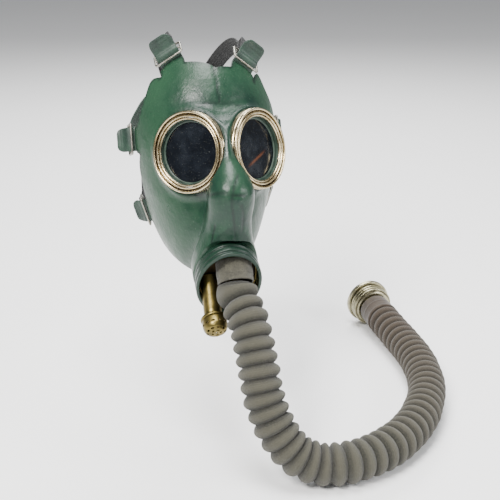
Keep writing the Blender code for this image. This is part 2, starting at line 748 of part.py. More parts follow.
def build_tab(spec, parent):
    """Rubber tongue, wire buckle, strap end and strap at one of the six fastening points."""
    name, _, pad_spot, _, lift = spec
    frame = empty("tab_frame_" + name, tab_frame(spec), parent)
    build_tongue(name, lift, frame)
    pivot = empty("buckle_frame_" + name, Matrix.Translation((0, 2 * MM, 2.8 * MM)), frame)
    build_buckle(name, pivot)
    build_strap_end(name, pivot)
    build_strap(spec, parent)


def build_tongue(name, lift, frame):
    """The tongue starts under the mask's lobe, passes below the near bar and stands up over the others."""
    side = [(-8, -5.0), (-1, -4.5), (2.5, -3.6), (6, 0.9), (8.7, 4.4), (12, 5.9), (15, 6.4 + lift * 0.3)]
    side += [(16.5, 6.4 + lift * 0.7), (17, 6.4 + lift)]
    path = smooth_curve([Vector((0, y, z)) * MM for y, z in side], 13)
    normals = [Vector((0, 0, 1)) if i < 9 else Vector((0, -0.6, 0.8)) for i in range(len(path))]
    widths = [TAB_WIDTH] * (len(path) - 2) + [TAB_WIDTH * 0.94, TAB_WIDTH * 0.72]
    ribbon("tab_" + name, path, normals, widths, TAB_THICK, green_rubber(), frame)


def build_buckle(name, pivot):
    """A three-bar wire buckle; its pivot is the axis of the near bar."""
    half = BUCKLE_WIDTH / 2
    drop = -2.6 * MM
    corner = 2 * MM
    path = []
    for x, y in ((half, 0), (half, BUCKLE_LENGTH), (-half, BUCKLE_LENGTH), (-half, 0)):
        toward = 1 if y else -1
        z = drop * y / BUCKLE_LENGTH
        cut_side = Vector((x, y - toward * corner, z))
        cut_end = Vector((x - math.copysign(corner, x), y, z))
        mid = (cut_side + cut_end) / 2 * 0.6 + Vector((x, y, z)) * 0.4
        trio = [cut_side, mid, cut_end]
        path += trio if (x > 0) == (y > 0) else trio[::-1]
    loop = wire_loop("buckle_" + name, path, WIRE_RADIUS, wire_steel(), pivot)
    middle_z = drop * BUCKLE_MIDDLE / BUCKLE_LENGTH
    bar_turn = Matrix.Translation((0, BUCKLE_MIDDLE, middle_z)) @ Matrix.Rotation(math.pi / 2, 4, "Y")
    bar_profile = [(0, -half), (WIRE_RADIUS * 0.9, -half), (WIRE_RADIUS * 0.9, half), (0, half)]
    bar = turned("cutter_bar_" + name, bar_profile, wire_steel(), pivot, bar_turn, 8)
    bar.hide_render = True
    bar.display_type = "WIRE"
    join = loop.modifiers.new("middle_bar", "BOOLEAN")
    join.operation = "UNION"
    join.solver = "EXACT"
    join.object = bar


def build_strap_end(name, pivot):
    """The looped end of the strap round the buckle's far bar."""
    drop = -2.6 * MM
    around = WIRE_RADIUS + GAP + STRAP_THICK / 2
    path = [Vector((0, BUCKLE_LENGTH + STRAP_END_LENGTH, drop + around))]
    path.append(Vector((0, BUCKLE_LENGTH + STRAP_END_LENGTH / 2, drop + around)))
    for step in range(7):
        angle = math.pi / 2 + math.pi * step / 6
        path.append(Vector((0, BUCKLE_LENGTH + around * math.cos(angle), drop + around * math.sin(angle))))
    path.append(Vector((0, BUCKLE_LENGTH + STRAP_END_LENGTH / 2, drop - around)))
    path.append(Vector((0, BUCKLE_LENGTH + STRAP_END_LENGTH, drop - around)))
    normals = [Vector((0, 0, 1))] * 2
    for step in range(7):
        angle = math.pi / 2 + math.pi * step / 6
        normals.append(Vector((0, math.cos(angle), math.sin(angle))))
    normals += [Vector((0, 0, -1))] * 2
    widths = [STRAP_WIDTH] * len(path)
    ribbon("strap_end_" + name, path, normals, widths, STRAP_THICK, strap_look(name), pivot)


def strap_look(name):
    return green_elastic() if name.startswith("temple") else dark_elastic()


def build_strap(spec, parent):
    """The strap from behind the buckle, over the head form, to the rear pad."""
    name, _, pad_spot, _, _ = spec
    reach = 2 * MM + BUCKLE_LENGTH + STRAP_END_LENGTH + STRAP_CLEARANCE
    first = tab_frame(spec) @ Vector((0, reach, 0)) - HEAD_CENTRE
    second = tab_frame(spec) @ Vector((0, reach + STRAP_LEAD, 0)) - HEAD_CENTRE
    last = pad_point(pad_spot) - HEAD_CENTRE
    turn = second.normalized().rotation_difference(last.normalized())
    ways = [first.normalized()]
    for share in (0, 0.25, 0.5, 0.75, 1):
        ways.append(Quaternion(turn.axis, turn.angle * share) @ second.normalized())
    steps = 15
    path, normals = [], []
    for step, way in enumerate(smooth_curve(ways, steps)):
        share = step / (steps - 1)
        rise = 0.3 * MM + (3.0 * MM) * min(1.0, max(0.0, (share - 0.6) / 0.25))
        point, normal = on_head(way, rise + STRAP_THICK / 2)
        path.append(point)
        normals.append(normal)
    ribbon("strap_" + name, path, normals, [STRAP_WIDTH] * steps, STRAP_THICK, strap_look(name), parent)


def build_pad(parent):
    """The rear head pad: a thin six-sided plate that follows the back of the head."""
    columns, rows = 9, 7
    verts = []
    for lift in (0.2 * MM, 0.2 * MM + PAD_THICK):
        for row in range(rows):
            for column in range(columns):
                x = (2 * column / (columns - 1) - 1)
                z = (2 * row / (rows - 1) - 1)
                wide = PAD_HALF[0] * (1 - 0.22 * abs(z))
                spot = (x * wide / MM, z * PAD_HALF[1] / MM)
                verts.append(on_head(pad_point(spot) - HEAD_CENTRE, lift)[0])
    faces = []
    shell = rows * columns
    for row in range(rows - 1):
        for column in range(columns - 1):
            a = row * columns + column
            quad = (a, a + 1, a + 1 + columns, a + columns)
            faces.append(quad)
            faces.append(tuple(shell + i for i in quad))
    rim = [c for c in range(columns)]
    rim += [r * columns + columns - 1 for r in range(1, rows)]
    rim += [(rows - 1) * columns + c for c in range(columns - 2, -1, -1)]
    rim += [r * columns for r in range(rows - 2, 0, -1)]
    for a, b in zip(rim, rim[1:] + rim[:1]):
        faces.append((a, b, shell + b, shell + a))
    mesh_object("head_pad", verts, faces, dark_elastic(), parent)


# ---------------------------------------------------------------- assembly

def main():
    for thing in list(bpy.data.objects):
        bpy.data.objects.remove(thing, do_unlink=True)
    mask = empty("mask_frame", Matrix.Rotation(MASK_TILT, 4, "X"))
    build_facepiece(mask)
    for side, letter in ((-1, "L"), (1, "R")):
        build_eyepiece(side, letter, mask)
    build_valve_box(mask)
    build_inhale_port(mask)
    build_exhale_valve(mask)
    build_hose(mask)
    for spec in TABS:
        build_tab(spec, mask)
    build_pad(mask)


main()
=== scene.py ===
import json
import math

import bmesh
import bpy
import numpy as np
from mathutils import Matrix, Quaternion, Vector

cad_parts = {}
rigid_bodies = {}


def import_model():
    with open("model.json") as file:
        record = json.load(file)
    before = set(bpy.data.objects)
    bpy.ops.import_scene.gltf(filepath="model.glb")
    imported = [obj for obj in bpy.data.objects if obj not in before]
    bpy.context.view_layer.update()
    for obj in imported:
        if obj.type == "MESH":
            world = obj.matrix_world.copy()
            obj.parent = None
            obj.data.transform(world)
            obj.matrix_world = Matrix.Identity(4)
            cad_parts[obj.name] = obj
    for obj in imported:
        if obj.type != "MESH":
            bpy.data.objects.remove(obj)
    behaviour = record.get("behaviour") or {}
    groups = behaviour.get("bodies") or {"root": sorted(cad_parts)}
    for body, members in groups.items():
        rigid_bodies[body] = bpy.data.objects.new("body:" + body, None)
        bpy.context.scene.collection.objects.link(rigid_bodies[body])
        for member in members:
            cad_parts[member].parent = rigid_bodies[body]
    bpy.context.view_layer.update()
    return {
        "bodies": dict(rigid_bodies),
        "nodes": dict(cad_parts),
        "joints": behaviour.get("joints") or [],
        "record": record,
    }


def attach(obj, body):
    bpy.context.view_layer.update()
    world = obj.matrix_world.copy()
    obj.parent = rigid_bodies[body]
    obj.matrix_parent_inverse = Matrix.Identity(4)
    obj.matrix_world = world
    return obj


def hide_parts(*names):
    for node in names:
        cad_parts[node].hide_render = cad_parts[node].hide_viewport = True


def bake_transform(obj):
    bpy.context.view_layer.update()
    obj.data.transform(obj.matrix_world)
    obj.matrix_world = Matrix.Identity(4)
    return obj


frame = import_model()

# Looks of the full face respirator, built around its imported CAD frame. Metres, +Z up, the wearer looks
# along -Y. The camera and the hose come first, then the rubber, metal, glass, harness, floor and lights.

MM = 0.001
GAP = 0.3 * MM

# Whole mask
MASK_TILT = math.radians(-18)

# Facepiece: the outer rubber surface is a smooth blend of a few simple forms
HEAD_CENTRE = Vector((-5.5, -1, 18)) * MM
HEAD_RADII = Vector((72, 90, 108)) * MM
JAW_CENTRE = Vector((-8, -22, -53)) * MM
JAW_RADII = Vector((50, 66, 66)) * MM
JAW_BLEND = 20 * MM
BRIDGE = Vector((0, -98, 12)) * MM
BRIDGE_RADIUS = 9 * MM
NOSE = Vector((0, -112, -40)) * MM
NOSE_RADIUS = 15 * MM
NOSE_BLEND = 16 * MM
MUZZLE_END_RADIUS = 27 * MM
MUZZLE_BLEND = 22 * MM
COLLAR_BLEND = 9 * MM
RUBBER = 2.0 * MM
FACE_HUB = Vector((-4, -48, -50)) * MM
NET_STEPS = 200
FINE_NET_STEPS = 24
NET_SHARE = 0.2

# The columns of the net crowd towards the top of the collar and the bottom of the free edge, so that they
# run straight from one to the other
COLLAR_WARP = 0.45
EDGE_WARP = 0.35
ROWS_FACE = 14
COLUMNS = 64

# Collar that holds the valve box: an oval tube, its axis forward and down
COLLAR_CENTRE = Vector((-5, -99.2, -120.5)) * MM
COLLAR_DROP = math.radians(41)
COLLAR_HALF_WIDTH = 30 * MM
COLLAR_OVAL = 1.3
COLLAR_WALL = 2.8 * MM
COLLAR_DEPTH = 17 * MM
RIB_HEIGHT = 1.0 * MM
COLLAR_STEP = 1.2 * MM
COLLAR_FILLET = 3 * MM

# Eyepieces
EYE_X = 34.6 * MM
EYE_Y = -92 * MM
EYE_SPLAY = math.radians(40)
EYE_RING_RADIUS = 37 * MM
EYE_SEAT_DEPTH = 9.4 * MM
EYE_HOLE_RADIUS = 31.6 * MM
EYE_BLEND = 9 * MM
EYE_BOSS_REACH = 36 * MM
EYE_SEGMENTS = 128
CUT_DEPTH = 24 * MM
CUT_LENGTH = 60 * MM

# Valve box: places along the collar's axis, from the plane of its mouth
BOX_BACK = -15.8 * MM
BOX_FLOOR = -14 * MM
BOX_LIP = -9.5 * MM

# Ports of the valve box: place in the mouth of the collar (right, up) and lean forward of straight down
HOSE_PORT = (5.0 * MM, 7.2 * MM, math.radians(20))
HOSE_PORT_RADIUS = 14.5 * MM
EXHALE_PORT = (-15.8 * MM, -12.8 * MM, math.radians(15))
EXHALE_RADIUS = 8.2 * MM
EXHALE_LENGTH = 16 * MM
CAP_TURN = math.radians(26)

# Holes in the face of the exhale cap: how many, radius of their ring (mm), length over width
CAP_RINGS = [(1, 0, 1.0), (5, 3.9, 1.5), (9, 7.8, 1.7)]
CAP_SIDE_HOLES = 12

# Hose, in the world frame: route of its centreline from the port to the union nut
CUFF_RADIUS = 16.6 * MM
HOSE_ROUTE = [
    (6, -166, -108), (9, -186, -135.5), (12, -202, -164), (21, -215, -189), (36, -224, -208),
    (56, -229, -216.5), (77, -231, -217), (97, -227, -217), (118, -218, -217), (140, -203, -217),
    (163, -180, -217), (181, -154, -217), (195, -127, -217), (204, -97, -217), (209, -66, -217),
    (210, -36, -217), (209, -8, -216.5), (206, 30, -213.5),
]
CUFF_START = -15.5 * MM

# Harness
TAB_WIDTH = 23 * MM
TAB_THICK = 1.8 * MM
LOBE_SPREAD = 2 * MM
LOBE_DEPTH = 7 * MM
WIRE_RADIUS = 1.1 * MM
BAR_SHARE = 0.9
BUCKLE_CORNER = 2.2 * MM
BUCKLE_DROP = -2.6 * MM
BUCKLE_WIDTH = 28 * MM
BUCKLE_LENGTH = 16 * MM
BUCKLE_MIDDLE = 8 * MM
STRAP_WIDTH = 17 * MM
STRAP_THICK = 1.6 * MM
STRAP_END_LENGTH = 16 * MM
STRAP_CLEARANCE = 4 * MM
STRAP_LEAD = 14 * MM
STRAP_STEPS = 45
PAD_RISE = math.radians(33)
PAD_HALF = (36 * MM, 27 * MM)
PAD_THICK = 2.4 * MM
PAD_ROWS = 33
PAD_COLUMNS = 41
PAD_WEAVE = 1.7 * MM

# name, middle of the mask edge under the buckle (mask frame, mm), place of the strap on the rear pad,
# turn of the tab about the outward normal in degrees, lift of its free end
TABS = [
    ("forehead_L", (-39, -59, 86), (-20, 16), -22, 12),
    ("forehead_R", (31, -68, 82), (20, 16), 14, 12),
    ("temple_L", (-75, -29, 19), (-27, 0), 34, 6),
    ("temple_R", (75, -22, 22), (27, 0), -34, -1),
    ("cheek_L", (-65, -7, -52), (-20, -16), 34, 5),
    ("cheek_R", (62, -5, -52), (20, -16), -34, -1),
]

# Free edge of one half of the mask, from the middle of the forehead to under the chin (mask frame, mm),
# measured sideways from EDGE_MIDDLE. Each side also passes round the lobes that carry the tabs.
EDGE_MIDDLE = Vector((-6.5, 0, 0)) * MM
EDGE_TOP = (0, -77, 78)
EDGE_TEMPLE_TOP = [(47, -47, 63), (54.5, -44, 47)]
EDGE_CHEEK = [(63.5, -30, -8), (62, -24, -23)]
EDGE_JAW = [(52.5, -8, -68), (46.5, -20, -82), (38, -34, -96), (25, -42, -108), (11, -45, -115)]
EDGE_CHIN = (-6.5, -46, -117)


def frames_along(path):
    """Right, up and forward axes at each point of a path, turned as little as possible."""
    tangents = [(b - a).normalized() for a, b in zip(path, path[1:])]
    tangents = [tangents[0]] + [(a + b).normalized() for a, b in zip(tangents, tangents[1:])] + [tangents[-1]]
    side = tangents[0].orthogonal().normalized()
    frames = []
    for forward in tangents:
        side = (side - forward * side.dot(forward)).normalized()
        frames.append((side, forward.cross(side), forward))
    return frames


def smooth_curve(points, count):
    """Points at equal distances along a smooth curve through the given ones."""
    points = [Vector(p) for p in points]
    ends = [2 * points[0] - points[1]] + points + [2 * points[-1] - points[-2]]
    dense = []
    for before, start, end, after in zip(ends, ends[1:], ends[2:], ends[3:]):
        for step in range(24):
            t = step / 24
            bend = (2 * before - 5 * start + 4 * end - after) * t * t
            twist = (3 * start - before - 3 * end + after) * t ** 3
            dense.append(start + 0.5 * ((end - before) * t + bend + twist))
    dense.append(points[-1])
    travelled = [0.0]
    for a, b in zip(dense, dense[1:]):
        travelled.append(travelled[-1] + (b - a).length)
    wanted = np.linspace(0, travelled[-1], count)
    columns = [np.interp(wanted, travelled, [p[axis] for p in dense]) for axis in range(3)]
    return [Vector(p) for p in zip(*columns)]


# ---- the rubber surface

def collar_axes():
    """Right, up and outward directions of the collar, in the mask frame."""
    outward = Vector((0, -math.cos(COLLAR_DROP), -math.sin(COLLAR_DROP)))
    up = Vector((0, -math.sin(COLLAR_DROP), math.cos(COLLAR_DROP)))
    return Vector((1, 0, 0)), up, outward


def unit(vectors):
    return vectors / np.linalg.norm(vectors, axis=-1, keepdims=True)


def swing(start, end, share):
    """Vectors turned and stretched evenly from one set to another."""
    angle = np.arccos(np.clip(np.sum(unit(start) * unit(end), axis=-1, keepdims=True), -1, 1))
    angle = np.maximum(angle, 1e-6)
    way = (unit(start) * np.sin((1 - share) * angle) + unit(end) * np.sin(share * angle)) / np.sin(angle)
    lengths = [np.linalg.norm(v, axis=-1, keepdims=True) for v in (start, end)]
    return way * (lengths[0] * (1 - share) + lengths[1] * share)


def eye_normal(side):
    return Vector((side * math.sin(EYE_SPLAY), -math.cos(EYE_SPLAY), 0))


def blend(a, b, width):
    """Union of two distance fields, rounded where they meet."""
    near = np.maximum(width - np.abs(a - b), 0) / width
    return np.minimum(a, b) - near * near * width / 4


def ellipsoid(p, centre, radii):
    q = p - np.array(centre)
    k0 = np.linalg.norm(q / np.array(radii), axis=-1)
    k1 = np.linalg.norm(q / np.array(radii) ** 2, axis=-1)
    return k0 * (k0 - 1) / np.maximum(k1, 1e-9)


def limb(p, start, end, start_radius, end_radius):
    """A round cone between two points."""
    a, along = np.array(start), np.array(end - start)
    t = np.clip((p - a) @ along / (along @ along), 0, 1)
    distance = np.linalg.norm(p - a - t[..., None] * along, axis=-1)
    return distance - start_radius - t * (end_radius - start_radius)


def eye_place(p, side):
    """Height of a point along the axis of one eyepiece, and its distance from that axis."""
    normal = np.array(eye_normal(side))
    q = p - np.array((side * EYE_X, EYE_Y, 0))
    height = q @ normal
    return height, np.linalg.norm(q - height[..., None] * normal, axis=-1)


def eye_boss(p, side):
    """The flat round seat under one eyepiece."""
    height, radius = eye_place(p, side)
    side_wall = radius - EYE_RING_RADIUS - 1.5 * MM
    return np.maximum(side_wall, np.maximum(height + EYE_SEAT_DEPTH, -height - EYE_BOSS_REACH))


def collar_tube(p):
    """The oval tube of the collar, from behind its ribs to inside the muzzle."""
    right, up, outward = [np.array(axis) for axis in collar_axes()]
    q = p - np.array(COLLAR_CENTRE)
    radius = np.hypot(q @ right, q @ up / COLLAR_OVAL)
    depth = -(q @ outward)
    around = radius - COLLAR_HALF_WIDTH + COLLAR_STEP
    return np.maximum(around, np.maximum(COLLAR_DEPTH - 6 * MM - depth, depth - COLLAR_DEPTH - 14 * MM))


def face_field(p):
    """Distance field of the outer rubber surface behind the collar, negative inside."""
    _, _, outward = collar_axes()
    root = COLLAR_CENTRE - outward * COLLAR_DEPTH
    d = ellipsoid(p, HEAD_CENTRE, HEAD_RADII)
    d = blend(d, ellipsoid(p, JAW_CENTRE, JAW_RADII), JAW_BLEND)
    d = blend(d, limb(p, BRIDGE, NOSE, BRIDGE_RADIUS, NOSE_RADIUS), NOSE_BLEND)
    d = blend(d, limb(p, NOSE, root, NOSE_RADIUS, MUZZLE_END_RADIUS), MUZZLE_BLEND)
    d = blend(d, collar_tube(p), COLLAR_BLEND)
    for side in (-1, 1):
        d = blend(d, eye_boss(p, side), EYE_BLEND)
    return d


def field_normal(p):
    """Outward direction of the rubber surface."""
    step = 0.2 * MM
    slopes = []
    for axis in range(3):
        shift = np.zeros(3)
        shift[axis] = step
        slopes.append(face_field(p + shift) - face_field(p - shift))
    normal = np.stack(slopes, axis=-1)
    return normal / np.linalg.norm(normal, axis=-1, keepdims=True)


def outward_hit(origins, directions):
    """Where rays that start inside meet the rubber surface."""
    reach = np.linspace(0, 0.17, 180)
    inside = face_field(origins[:, None] + directions[:, None] * reach[None, :, None]) < 0
    last = np.minimum(len(reach) - 2, len(reach) - 1 - np.argmax(inside[:, ::-1], axis=1))
    low, high = reach[last], reach[last + 1]
    for _ in range(24):
        middle = (low + high) / 2
        within = face_field(origins + directions * middle[:, None]) < 0
        low, high = np.where(within, middle, low), np.where(within, high, middle)
    return origins + directions * high[:, None]


def placed(point, x_axis, y_axis, z_axis):
    """Matrix with its origin at a point and the axes given."""
    return Matrix.Translation(point) @ Matrix((x_axis, y_axis, z_axis)).transposed().to_4x4()


def on_head(direction, lift=0.0):
    """Point above the head and rubber in a direction from the middle of the head, and its outward normal."""
    way = np.array(Vector(direction).normalized())[None]
    skin = outward_hit(np.array(HEAD_CENTRE)[None], way)
    normal = Vector(field_normal(skin)[0])
    return Vector(skin[0]) + normal * lift, normal


# ---- harness layout

def tab_frame(spec):
    """Matrix of one tab: X across, Y away from the mask along the strap, Z out from the head."""
    _, edge, pad_spot, turn, _ = spec
    point, normal = on_head(Vector(edge) * MM - HEAD_CENTRE)
    along = pad_point(pad_spot) - point
    along = (along - normal * along.dot(normal)).normalized()
    along = Quaternion(normal, math.radians(turn)) @ along
    across = along.cross(normal)
    return placed(point, across, along, normal)


def pad_point(spot):
    """Place on the rear pad from (sideways, upward) millimetres."""
    angle = PAD_RISE + spot[1] * MM / HEAD_RADII.z
    return on_head((spot[0] * MM, HEAD_RADII.y * math.cos(angle), HEAD_RADII.z * math.sin(angle)))[0]


def edge_outline():
    """Closed outline of the free edge, clockwise from the middle of the forehead as the wearer faces out."""
    halves = {}
    for side, letter in ((1, "R"), (-1, "L")):
        tabs = [spec for spec in TABS if spec[0].endswith(letter)]
        stretches = [[], EDGE_TEMPLE_TOP, EDGE_CHEEK, EDGE_JAW]
        half = []
        for stretch, spec in zip(stretches, tabs + [None]):
            half += [EDGE_MIDDLE + Vector((side * x, y, z)) * MM for x, y, z in stretch]
            if spec:
                half += lobe(spec)
        halves[side] = half
    return [Vector(EDGE_TOP) * MM] + halves[1] + [Vector(EDGE_CHIN) * MM] + halves[-1][::-1]


def lobe(spec):
    """Corner points of the lobe under one tab, from the forehead side to the chin side."""
    matrix = tab_frame(spec)
    half = TAB_WIDTH / 2
    corners = [(-half - LOBE_SPREAD, -LOBE_DEPTH), (-half, 0), (half, 0), (half + LOBE_SPREAD, -LOBE_DEPTH)]
    points = [matrix @ Vector((x, y, 0)) for x, y in corners]
    if (points[0] - Vector(EDGE_TOP) * MM).length > (points[-1] - Vector(EDGE_TOP) * MM).length:
        points.reverse()
    return points


# ---- facepiece

def relax(net, times):
    """Evens out the inner rings of a net over the skin, in place."""
    for _ in range(times):
        inside = net[1:-1]
        across = np.roll(inside, 1, axis=1) + np.roll(inside, -1, axis=1)
        inside = inside * NET_SHARE + (net[2:] + net[:-2] + across) * NET_SHARE
        net[1:-1] = inside - field_normal(inside) * face_field(inside)[..., None]


def face_net(root, edge):
    """Rings of points on the skin between the collar and the free edge, evened out over the surface."""
    hub = np.array(FACE_HUB)
    rings = [root]
    for row in range(1, ROWS_FACE + 1):
        ways = swing(root - hub, edge - hub, row / ROWS_FACE)
        rings.append(outward_hit(np.tile(hub, (COLUMNS, 1)), unit(ways)))
    net = np.array(rings)
    relax(net, NET_STEPS)
    return net[1:]


def port_direction(port):
    """Outward direction of a port, in the mask frame."""
    return Vector((0, -math.sin(port[2]), -math.cos(port[2])))


def port_point(port, along=0.0):
    """Point on a port's axis, measured from where it crosses the plane of the collar's mouth."""
    right, up, _ = collar_axes()
    return COLLAR_CENTRE + right * port[0] + up * port[1] + port_direction(port) * along


def looking_along(point, direction):
    """Matrix with its origin at a point and Z along a direction."""
    return Matrix.Translation(point) @ direction.to_track_quat("Z", "Y").to_matrix().to_4x4()


def cap_direction():
    """Direction of the exhale chamber, in the mask frame: forward of the tube."""
    swung = EXHALE_PORT[2] + CAP_TURN
    return Vector((0, -math.sin(swung), -math.cos(swung))).normalized()


def eye_matrix(side):
    """Frame of one eyepiece: Z out along the line of sight, origin in the front plane of the ring."""
    normal = eye_normal(side)
    up = Vector((0, 0, 1))
    return placed((side * EYE_X, EYE_Y, 0), up.cross(normal), up, normal)


# ---- colours, as linear light

RUBBER_DARK = (0.002, 0.014, 0.010)
RUBBER_MID = (0.006, 0.028, 0.015)
# RUBBER_PALE is the colour of the pale blotches and of the painted sheen
RUBBER_PALE = (0.017, 0.055, 0.027)
RUBBER_DUST = (0.060, 0.100, 0.060)
# Colour of the painted shade on the rubber: seams, grooves, edges and hollows
RUBBER_SHADE = (0.002, 0.008, 0.006)
TAB_DARK = (0.004, 0.017, 0.011)
TAB_PALE = (0.012, 0.038, 0.022)
GLASS_DARK = (0.001, 0.002, 0.004)
GLASS_MIST = (0.008, 0.011, 0.016)
GLASS_STAIN = (0.020, 0.024, 0.026)
GLASS_DUST = (0.140, 0.140, 0.120)
GLASS_STREAK = (0.120, 0.040, 0.015)
KNIT_DARK = (0.018, 0.018, 0.013)
KNIT_MID = (0.036, 0.034, 0.024)
# KNIT_PALE and KNIT_FAR also make the painted highlight on the crests of the sleeve
KNIT_PALE = (0.085, 0.080, 0.056)
KNIT_BROWN = (0.026, 0.016, 0.009)
KNIT_FAR = (0.060, 0.043, 0.028)
# Colour of the painted shade in the sleeve's valleys and between its loops and threads
KNIT_SHADE = (0.006, 0.006, 0.004)
KNIT_WIDTH = 0.0021
KNIT_HEIGHT = 0.0016

PALE_BRASS = (0.660, 0.570, 0.380)
PALE_BRASS_DULL = (0.360, 0.280, 0.150)
PALE_BRASS_DIRT = (0.060, 0.038, 0.016)
LACQUER = (0.210, 0.160, 0.050)
LACQUER_DULL = (0.100, 0.080, 0.028)
LACQUER_DIRT = (0.030, 0.025, 0.013)
NICKEL = (0.460, 0.430, 0.300)
NICKEL_DULL = (0.220, 0.200, 0.120)
NICKEL_DIRT = (0.050, 0.042, 0.025)
WIRE = (0.340, 0.330, 0.290)
WIRE_DULL = (0.160, 0.150, 0.120)
WIRE_DIRT = (0.050, 0.035, 0.020)
# Painted shade: colours of the dark disc on the floor of the valve box, which stands in for the shade inside
# the collar
INTERIOR_SHADE = (0.040, 0.028, 0.014)
INTERIOR_SHADE_DULL = (0.020, 0.014, 0.008)
INTERIOR_SHADE_DEEP = (0.006, 0.004, 0.003)
METAL_SPREAD = 0.16
METAL_GRIME = 0.5

BLACK_RUBBER = (0.010, 0.012, 0.011)
BLACK_RUBBER_WORN = (0.035, 0.038, 0.034)
RECESS = (0.012, 0.026, 0.018)
RECESS_WORN = (0.030, 0.055, 0.038)
MICA_DARK = (0.40, 0.28, 0.13)
MICA_PALE = (0.62, 0.48, 0.25)
BLACK_WEB = (0.003, 0.003, 0.004)
BLACK_WEB_WORN = (0.016, 0.017, 0.017)
GREEN_WEB = (0.005, 0.018, 0.011)
GREEN_WEB_WORN = (0.020, 0.048, 0.030)
WEB_RIB = 0.0013
WEB_WEFT = 0.0009
FLOOR_DULL = (0.93, 0.93, 0.93)
FLOOR_PALE = (0.96, 0.96, 0.96)

# ---- node materials

class Look:
    """A Principled material and short ways to wire nodes into it. Sizes are in metres."""

    def __init__(self, name, roughness=0.5, metallic=0.0, **sockets):
        self.normal = None
        self.material = bpy.data.materials.new(name)
        self.material.use_nodes = True
        self.nodes = self.material.node_tree.nodes
        self.links = self.material.node_tree.links
        self.shader = self.nodes["Principled BSDF"]
        self.place = self.nodes.new("ShaderNodeTexCoord").outputs["Object"]
        self.shader.inputs["Roughness"].default_value = roughness
        self.shader.inputs["Metallic"].default_value = metallic
        for key, value in sockets.items():
            self.shader.inputs[key.replace("_", " ")].default_value = value

    def node(self, kind, inputs=(), **settings):
        made = self.nodes.new("ShaderNode" + kind)
        for key, value in settings.items():
            setattr(made, key, value)
        for key, value in dict(inputs).items():
            if isinstance(value, bpy.types.NodeSocket):
                self.links.new(value, made.inputs[key])
            else:
                made.inputs[key].default_value = value
        return made

    def noise(self, size, detail=4.0, roughness=0.6, place=None):
        """Noise whose blobs are about `size` metres across, from 0 to 1."""
        inputs = {"Vector": place or self.place, "Scale": 1 / size, "Detail": detail, "Roughness": roughness}
        return self.node("TexNoise", inputs).outputs["Fac"]

    def between(self, value, low, high, start=0.0, end=1.0):
        """The value stretched from low..high to start..end, and clamped there."""
        inputs = {0: value, 1: low, 2: high, 3: start, 4: end}
        return self.node("MapRange", inputs).outputs[0]

    def maths(self, operation, a, b=0.0):
        return self.node("Math", {0: a, 1: b}, operation=operation).outputs[0]

    def mix(self, share, a, b):
        """Colour a where share is 0 and b where it is 1."""
        made = self.nodes.new("ShaderNodeMix")
        made.data_type = "RGBA"
        for socket, value in ((made.inputs[0], share), (made.inputs[6], a), (made.inputs[7], b)):
            if isinstance(value, bpy.types.NodeSocket):
                self.links.new(value, socket)
            else:
                socket.default_value = value if isinstance(value, float) else (*value, 1.0)
        return made.outputs[2]

    def attribute(self, name):
        return self.node("Attribute", attribute_name=name).outputs["Fac"]

    def bump(self, height, depth, strength=1.0):
        """Relief of that depth in metres, on top of what is there."""
        inputs = {"Height": height, "Distance": depth, "Strength": strength}
        if self.normal:
            inputs["Normal"] = self.normal
        self.normal = self.node("Bump", inputs).outputs["Normal"]

    def finish(self, colour, roughness=None):
        for name, socket in (("Base Color", colour), ("Roughness", roughness), ("Normal", self.normal)):
            if socket is not None:
                self.links.new(socket, self.shader.inputs[name])
        return self.material


def rubber_look():
    """Old moulded rubber: dark green, cloudy and blotchy, with specks of dust and scratches in its relief;
    painted sheen makes it paler on the cheeks, forehead, chin and nose, and painted shade makes it dark in
    its seams, grooves, edges and hollows.
    """
    look = Look("green_rubber_aged", Specular_IOR_Level=0.34)
    cloudy = look.between(look.noise(0.038, 4), 0.38, 0.62)
    blotchy = look.between(look.noise(0.012, 5, 0.7), 0.40, 0.75)
    specks = look.between(look.noise(0.0016, 2), 0.64, 0.74)
    colour = look.mix(cloudy, RUBBER_DARK, RUBBER_MID)
    # Painted sheen: paler on the cheeks, forehead, chin and nose ridge, as if they caught the light
    colour = look.mix(look.attribute("painted_sheen"), colour, RUBBER_PALE)
    colour = look.mix(look.maths("MULTIPLY", blotchy, 0.4), colour, RUBBER_PALE)
    colour = look.mix(look.maths("MULTIPLY", specks, 0.5), colour, RUBBER_DUST)
    # Painted shade: darker in the seams, over the collar and its grooves, along the free edge, round the
    # eyepieces and inside the mask
    colour = look.mix(look.attribute("seam_and_shade"), colour, RUBBER_SHADE)
    scuffs = look.node("Mapping", {"Vector": look.place, "Scale": (60, 60, 900)}).outputs[0]
    scratch = look.between(look.noise(1.0, 3, 0.5, scuffs), 0.62, 0.72)
    roughness = look.between(look.noise(0.02, 4), 0.3, 0.7, 0.24, 0.40)
    roughness = look.maths("ADD", roughness, look.maths("MULTIPLY", blotchy, 0.10))
    look.bump(look.noise(0.014, 3), 0.0011, 0.7)
    look.bump(look.noise(0.0045, 4), 0.00035, 0.7)
    look.bump(look.noise(0.0007, 2), 0.00004, 0.6)
    look.bump(scratch, 0.00003, 0.5)
    return look.finish(colour, roughness)


def tab_look():
    look = Look("tab_rubber")
    cloudy = look.between(look.noise(0.012, 4), 0.35, 0.65)
    colour = look.mix(cloudy, TAB_DARK, TAB_PALE)
    specks = look.between(look.noise(0.0012, 2), 0.62, 0.72)
    colour = look.mix(look.maths("MULTIPLY", specks, 0.35), colour, RUBBER_DUST)
    look.bump(look.noise(0.002, 4), 0.0002, 0.5)
    return look.finish(colour, look.between(look.noise(0.008, 4), 0.3, 0.7, 0.42, 0.6))


